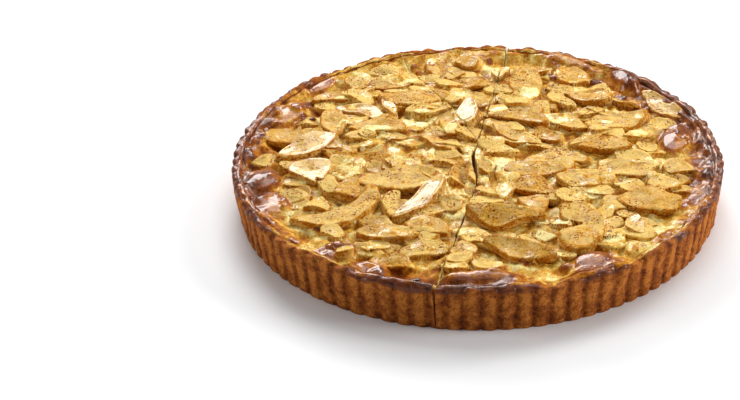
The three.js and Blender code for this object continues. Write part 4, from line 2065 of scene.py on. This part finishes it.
    def over_rim(self, flat: Array, level: Array) -> Array:
        """Lets the skin run over the rim in places, and ends it in the crust elsewhere.

        Args:
            flat: Rows of x, y and 0.
            level: The heights so far.

        Returns:
            The new heights.
        """
        x, y, _ = flat.T
        radius = np.hypot(x, y)
        angle = np.degrees(np.arctan2(y, x))
        spills = [share * bell(angle, middle, half) for middle, half, share in self.overflows]
        ragged = Ripple(self.lap_size, self.seed + 5).at(flat)
        lap = self.lap + self.spill_lap * np.max(spills, axis=0) + self.lap_ragged * ragged
        edge = self.sizes.inner_rim_radius + lap
        tree = BVHTree.FromObject(self.case, bpy.context.evaluated_depsgraph_get())
        for index in np.nonzero(radius > self.sizes.inner_rim_radius - self.lap_margin)[0]:
            crust = height_above(tree, x[index], y[index])
            if crust is None or crust <= self.least_crust:
                continue
            share = min(1, max(0, (edge[index] - radius[index]) / self.skin_edge))
            level[index] = crust + self.skin * share - self.skin_dip * (1 - share) ** 3
        return level

    def drawn_blisters(self) -> tuple[Blister, ...]:
        """Small blisters drawn at random in the browned ring by the wall.

        Returns:
            The blisters.
        """
        rng = np.random.default_rng(self.seed + 2)
        drawn = []
        for _ in range(self.small_blisters):
            angle = rng.uniform(0, 2 * math.pi)
            radius = rng.uniform(*self.small_radii)
            half = rng.uniform(*self.small_halves)
            drawn.append(
                Blister(
                    at=(radius * math.cos(angle), radius * math.sin(angle)),
                    half=(half, half * rng.uniform(0.6, 1.0)),
                    turn=math.degrees(angle) + rng.uniform(50, 130),
                    rise=rng.uniform(*self.small_rises),
                    tone=rng.uniform(*self.small_tones),
                )
            )
        return tuple(drawn)

    def cling(self, flat: Array, level: Array) -> tuple[Array, Array]:
        """Draws the custard up against the fruit, sinks it under it or washes it over it.

        Args:
            flat: Rows of x, y and 0.
            level: The heights so far.

        Returns:
            The new heights, and how strongly each place clings.
        """
        tree = surface_of(self.fruit)
        cling = np.zeros_like(level)
        wash = Ripple(self.wash_size, self.seed + 9).at(flat) - self.wash_least
        for index, (x, y, _) in enumerate(flat):
            top = height_above(tree, x, y)
            if top is not None and top > level[index] - self.touching:
                depth = top - level[index] - self.wash_depth
                low = min(level[index] + self.cling_rise, top - self.under_fruit)
                share = (wash[index] - self.wash_fade * depth) / self.wash_edge
                share = min(1, max(0, share))
                share = share * share * (3 - 2 * share)
                level[index] = low + share * (top + self.wash_film - low)
                continue
            near = tree.find_nearest((x, y, level[index]), self.cling_search)[3]
            if near is not None:
                cling[index] = math.exp(-near / self.cling_reach)
                level[index] += self.cling_rise * cling[index]
        return level, cling


# ---- Pastry case ---------------------------------------------------------------------


@dataclass
class PastryCase:
    """The fluted shortcrust case with its browned and glazed rim."""

    sizes: TartSizes
    cuts: KnifeCuts
    steps_per_flute: int = 12
    wall_rows: int = 22
    rim_rows: int = 10
    inner_rows: int = 6
    seed: int = 31
    groove_power: float = 1.5
    groove_start: float = 135.5 * MM
    groove_end: float = 139 * MM
    lump_size: float = 5.5 * MM
    wobble_size: float = 11 * MM
    crumb_size: float = 1.7 * MM
    wobble: float = 0.3 * MM
    lump: float = 0.22 * MM
    crumb: float = 0.2 * MM
    crumb_stretch: tuple[float, float, float] = (0.6, 0.6, 1.5)
    rim_calm: float = 0.8
    foot_flat: float = 0.3 * MM
    crest_inset: float = 0.6 * MM
    inward: float = -0.6
    knob: float = 0.4 * MM
    knob_crumb: float = 0.15 * MM
    upper_span: Span = (0.55, 1.0)
    rim_span: Span = (-6 * MM, 1 * MM)
    bead_span: Span = (136 * MM, 138.5 * MM)
    bead_least: float = 0.6
    film_inside: float = 0.9
    film_drop: float = 1.2 * MM
    film_wobble: float = 1.8 * MM
    film_lump: float = 0.8 * MM
    film_edge: Span = (-1.2 * MM, 1.4 * MM)
    toast_span: Span = (0.25, 0.75)
    # where the painted light of a flute's crest starts and ends
    painted_ridge_light_span: Span = (0.35, 0.95)

    def build(self, case: Piece) -> dict[Side, Piece]:
        """Parts the case into its portions.

        Args:
            case: The whole case.

        Returns:
            The portions by their side.
        """
        portions = self.cuts.split(case, "baked_case")
        for side, piece in portions.items():
            dress(piece, PASTRY, Slot.PASTRY, f"pastry_case_{side.value}")
        return portions

    def profile(self) -> list[tuple[float, float]]:
        """The case's section from the foot over the rim to the floor inside.

        Returns:
            Pairs of a radius and a height.
        """
        sizes = self.sizes
        crest = sizes.rim_height
        brow = crest - sizes.rim_round
        rows = []
        for step in range(self.wall_rows + 1):
            share = step / self.wall_rows
            radius = sizes.foot_radius + share * (sizes.rim_radius - sizes.foot_radius)
            rows.append((radius, brow * share))
        half = (sizes.rim_radius - sizes.inner_rim_radius) / 2
        middle = (sizes.rim_radius + sizes.inner_rim_radius) / 2
        for step in range(1, self.rim_rows + 1):
            turn = math.pi * step / self.rim_rows
            rows.append((middle + half * math.cos(turn), brow + sizes.rim_round * math.sin(turn)))
        for step in range(1, self.inner_rows + 1):
            height = brow + (sizes.base_thickness - brow) * step / self.inner_rows
            rows.append((sizes.inner_radius(height), height))
        return rows

    def case(self) -> Piece:
        """The case before it is cut, with flutes, an uneven rim and a crumbly relief.

        Returns:
            The closed case.
        """
        columns = self.sizes.flutes * self.steps_per_flute
        rows = self.profile()
        deselect_all()
        bpy.ops.mesh.primitive_circle_add(
            vertices=columns, radius=rows[0][0], fill_type="NGON", location=(0, 0, 0)
        )
        piece = bpy.context.object
        piece.name = "case"
        bpy.ops.object.mode_set(mode="EDIT")
        bpy.ops.mesh.select_mode(type="EDGE")
        bpy.ops.mesh.select_all(action="DESELECT")
        bpy.ops.mesh.select_non_manifold()
        for (radius, height), (last_radius, last_height) in zip(rows[1:], rows[:-1]):
            bpy.ops.mesh.extrude_region_move(
                TRANSFORM_OT_translate={"value": (0, 0, height - last_height)}
            )
            scale = radius / last_radius
            bpy.ops.transform.resize(value=(scale, scale, 1))
        bpy.ops.mesh.edge_face_add()
        bpy.ops.mesh.select_all(action="SELECT")
        bpy.ops.mesh.normals_make_consistent(inside=False)
        bpy.ops.object.mode_set(mode="OBJECT")
        self.bake(piece)
        return piece

    def bake(self, piece: Piece) -> None:
        """Gives the plain ring its flutes, its uneven rim and its marks.

        Args:
            piece: The plain case.
        """
        sizes = self.sizes
        points = coords(piece)
        x, y, z = points.T
        radius = np.hypot(x, y)
        angle = np.arctan2(y, x)
        brow = sizes.rim_height - sizes.rim_round
        outside = radius > sizes.foot_radius - 0.1 * MM
        upper = smoothstep(*self.upper_span, z / brow)
        wave = np.abs(np.cos(angle * sizes.flutes / 2))
        groove = sizes.flute_depth * (1 - wave) ** self.groove_power
        outward = smoothstep(self.groove_start, self.groove_end, radius)
        depth = groove * np.where(outside, np.where(z < 0.5 * brow, 1, outward), 0)
        lump = Ripple(self.lump_size, self.seed).at(points)
        wobble = Ripple(self.wobble_size, self.seed + 1).at(points)
        fine = Ripple(self.crumb_size, self.seed + 2).at(points * self.crumb_stretch)
        rim = smoothstep(*self.rim_span, z - brow)
        push = self.wobble * wobble + self.lump * lump
        push += self.crumb * fine * (1 - self.rim_calm * rim)
        push = np.where(z < self.foot_flat, np.minimum(push, 0), push)
        on_floor = z <= sizes.base_thickness + 0.1 * MM
        push[on_floor & (radius < sizes.inner_foot_radius + 1 * MM)] = 0
        toward = np.where(radius < sizes.crest_radius - self.crest_inset, self.inward, 1.0)
        new_radius = radius - depth + push * toward
        crest = sizes.rim_at(x, y) - sizes.rim_height
        bead = (wave - self.bead_least) * smoothstep(*self.bead_span, radius)
        knobs = self.knob * (bead + wobble + lump) + self.knob_crumb * fine
        height = z + upper * crest + rim * knobs
        inner = radius < sizes.crest_radius - 1 * MM
        ragged = brow - self.film_drop + self.film_wobble * wobble + self.film_lump * lump
        film = np.where(inner, self.film_inside, smoothstep(*self.film_edge, z - ragged))
        toast = RingTone().at(x, y) + 0.25 * lump
        moved = np.stack([new_radius * np.cos(angle), new_radius * np.sin(angle), height], axis=1)
        set_coords(piece, moved)
        # painted light and shade on the flutes: 1 on the crests, 0 in the grooves, 0.5 inside
        paint(piece, "painted_ridge_light", np.where(outside, smoothstep(*self.painted_ridge_light_span, wave), 0.5))
        paint(piece, "glaze", film * smoothstep(*self.toast_span, toast))


# ---- Compote -------------------------------------------------------------------------


@dataclass
class Compote:
    """The compote layer, which shows only deep in the cuts."""

    nodes: dict[str, Piece]

    def build(self) -> None:
        """Finishes the compote's own solids."""
        for name in sorted(n for n in self.nodes if n.startswith("compote_")):
            self.nodes[name].data.materials.clear()
            self.nodes[name].data.materials.append(COMPOTE.material())
            LOG.info("%s keeps its solid", name)


# ---- Studio --------------------------------------------------------------------------


@dataclass
class Softbox:
    """A rectangular lamp that shines on the tart."""

    name: str
    place: tuple[float, float, float]
    size: tuple[float, float]
    power: float

    def build(self) -> None:
        """Hangs the lamp."""
        lamp = bpy.data.lights.new(self.name, "AREA")
        lamp.shape = "RECTANGLE"
        lamp.size, lamp.size_y = self.size
        lamp.energy = self.power
        holder = bpy.data.objects.new(self.name, lamp)
        bpy.context.scene.collection.objects.link(holder)
        holder.location = self.place
        toward = -Vector(self.place)
        holder.rotation_euler = toward.to_track_quat("-Z", "Y").to_euler()


@dataclass
class Studio:
    """A white table, a broad soft light from behind, and the camera of the photograph."""

    elevation: float = 0.5416
    distance: float = 1.083
    aim: tuple[float, float, float] = (-61.4 * MM, -5.6 * MM, 0.0)
    roll: float = -0.0375
    focal_share: float = 1862 / 740
    sensor: float = 36.0
    floor_size: float = 9.0
    floor_color: Color = (0.92, 0.925, 0.93)
    floor_roughness: float = 0.6
    floor_specular: float = 0.2
    world_light: float = 0.12
    lamps: tuple[Softbox, ...] = (
        Softbox("low back softbox", (-0.42, 1.70, 0.95), (1.05, 0.75), 25),
        Softbox("high back softbox", (0.2, 1.1, 1.65), (1.2, 1.0), 18),
        Softbox("back right softbox", (1.2, 1.2, 1.15), (0.6, 0.5), 12),
        Softbox("right softbox", (1.8, -0.2, 0.64), (0.7, 0.7), 23),
        Softbox("left softbox", (-1.8, -0.2, 0.8), (0.7, 0.7), 10),
        Softbox("top softbox", (0.1, -0.1, 1.9), (1.2, 1.2), 4.5),
    )

    def build(self) -> None:
        """Sets up the camera, the floor and the light."""
        self.camera()
        self.floor()
        self.world()
        for lamp in self.lamps:
            lamp.build()
        bpy.context.scene.view_settings.view_transform = "Standard"

    def camera(self) -> None:
        """Places the camera."""
        data = bpy.data.cameras.new("camera")
        data.sensor_width = self.sensor
        data.lens = self.focal_share * self.sensor
        camera = bpy.data.objects.new("camera", data)
        bpy.context.scene.collection.objects.link(camera)
        back = Vector((0, -math.cos(self.elevation), math.sin(self.elevation)))
        place = back * self.distance
        forward = (Vector(self.aim) - place).normalized()
        right = forward.cross(Vector((0, 0, 1))).normalized()
        up = right.cross(forward)
        turned = right * math.cos(self.roll) + up * math.sin(self.roll)
        lifted = up * math.cos(self.roll) - right * math.sin(self.roll)
        camera.matrix_world = Matrix((
            (turned.x, lifted.x, -forward.x, place.x),
            (turned.y, lifted.y, -forward.y, place.y),
            (turned.z, lifted.z, -forward.z, place.z),
            (0, 0, 0, 1),
        ))
        bpy.context.scene.camera = camera

    def floor(self) -> None:
        """Lays the white floor."""
        deselect_all()
        bpy.ops.mesh.primitive_plane_add(size=self.floor_size)
        floor = bpy.context.object
        floor.name = "floor"
        material = bpy.data.materials.new("white table")
        material.use_nodes = True
        body = material.node_tree.nodes["Principled BSDF"]
        body.inputs["Base Color"].default_value = (*self.floor_color, 1)
        body.inputs["Roughness"].default_value = self.floor_roughness
        body.inputs["Specular IOR Level"].default_value = self.floor_specular
        floor.data.materials.append(material)

    def world(self) -> None:
        """Fills the room with soft white light."""
        world = bpy.data.worlds.new("white room")
        world.use_nodes = True
        bpy.context.scene.world = world
        background = world.node_tree.nodes["Background"]
        background.inputs["Color"].default_value = (1, 1, 1, 1)
        background.inputs["Strength"].default_value = self.world_light


# ---- The whole scene -----------------------------------------------------------------


def main() -> None:
    """Builds the tart and the studio in order."""
    logging.basicConfig(level=logging.INFO, format="%(message)s")
    for piece in list(bpy.data.objects):
        bpy.data.objects.remove(piece)
    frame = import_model()
    nodes = frame["nodes"]
    sizes = TartSizes()
    cuts = KnifeCuts()
    cuts.build()
    Studio().build()
    shaper = AppleShaper(sizes)
    slices = AppleSlices(nodes, cuts, shaper)
    slices.build()
    bpy.data.objects.remove(shaper.block())
    bits = AppleBits(sizes, cuts, slices.pieces)
    bits.build()
    crust = PastryCase(sizes, cuts)
    case = crust.case()
    Custard(sizes, cuts, slices.pieces + bits.pieces, case).build()
    crust.build(case)
    Compote(nodes).build()
    cuts.remove()


if __name__ == "__main__":
    main()
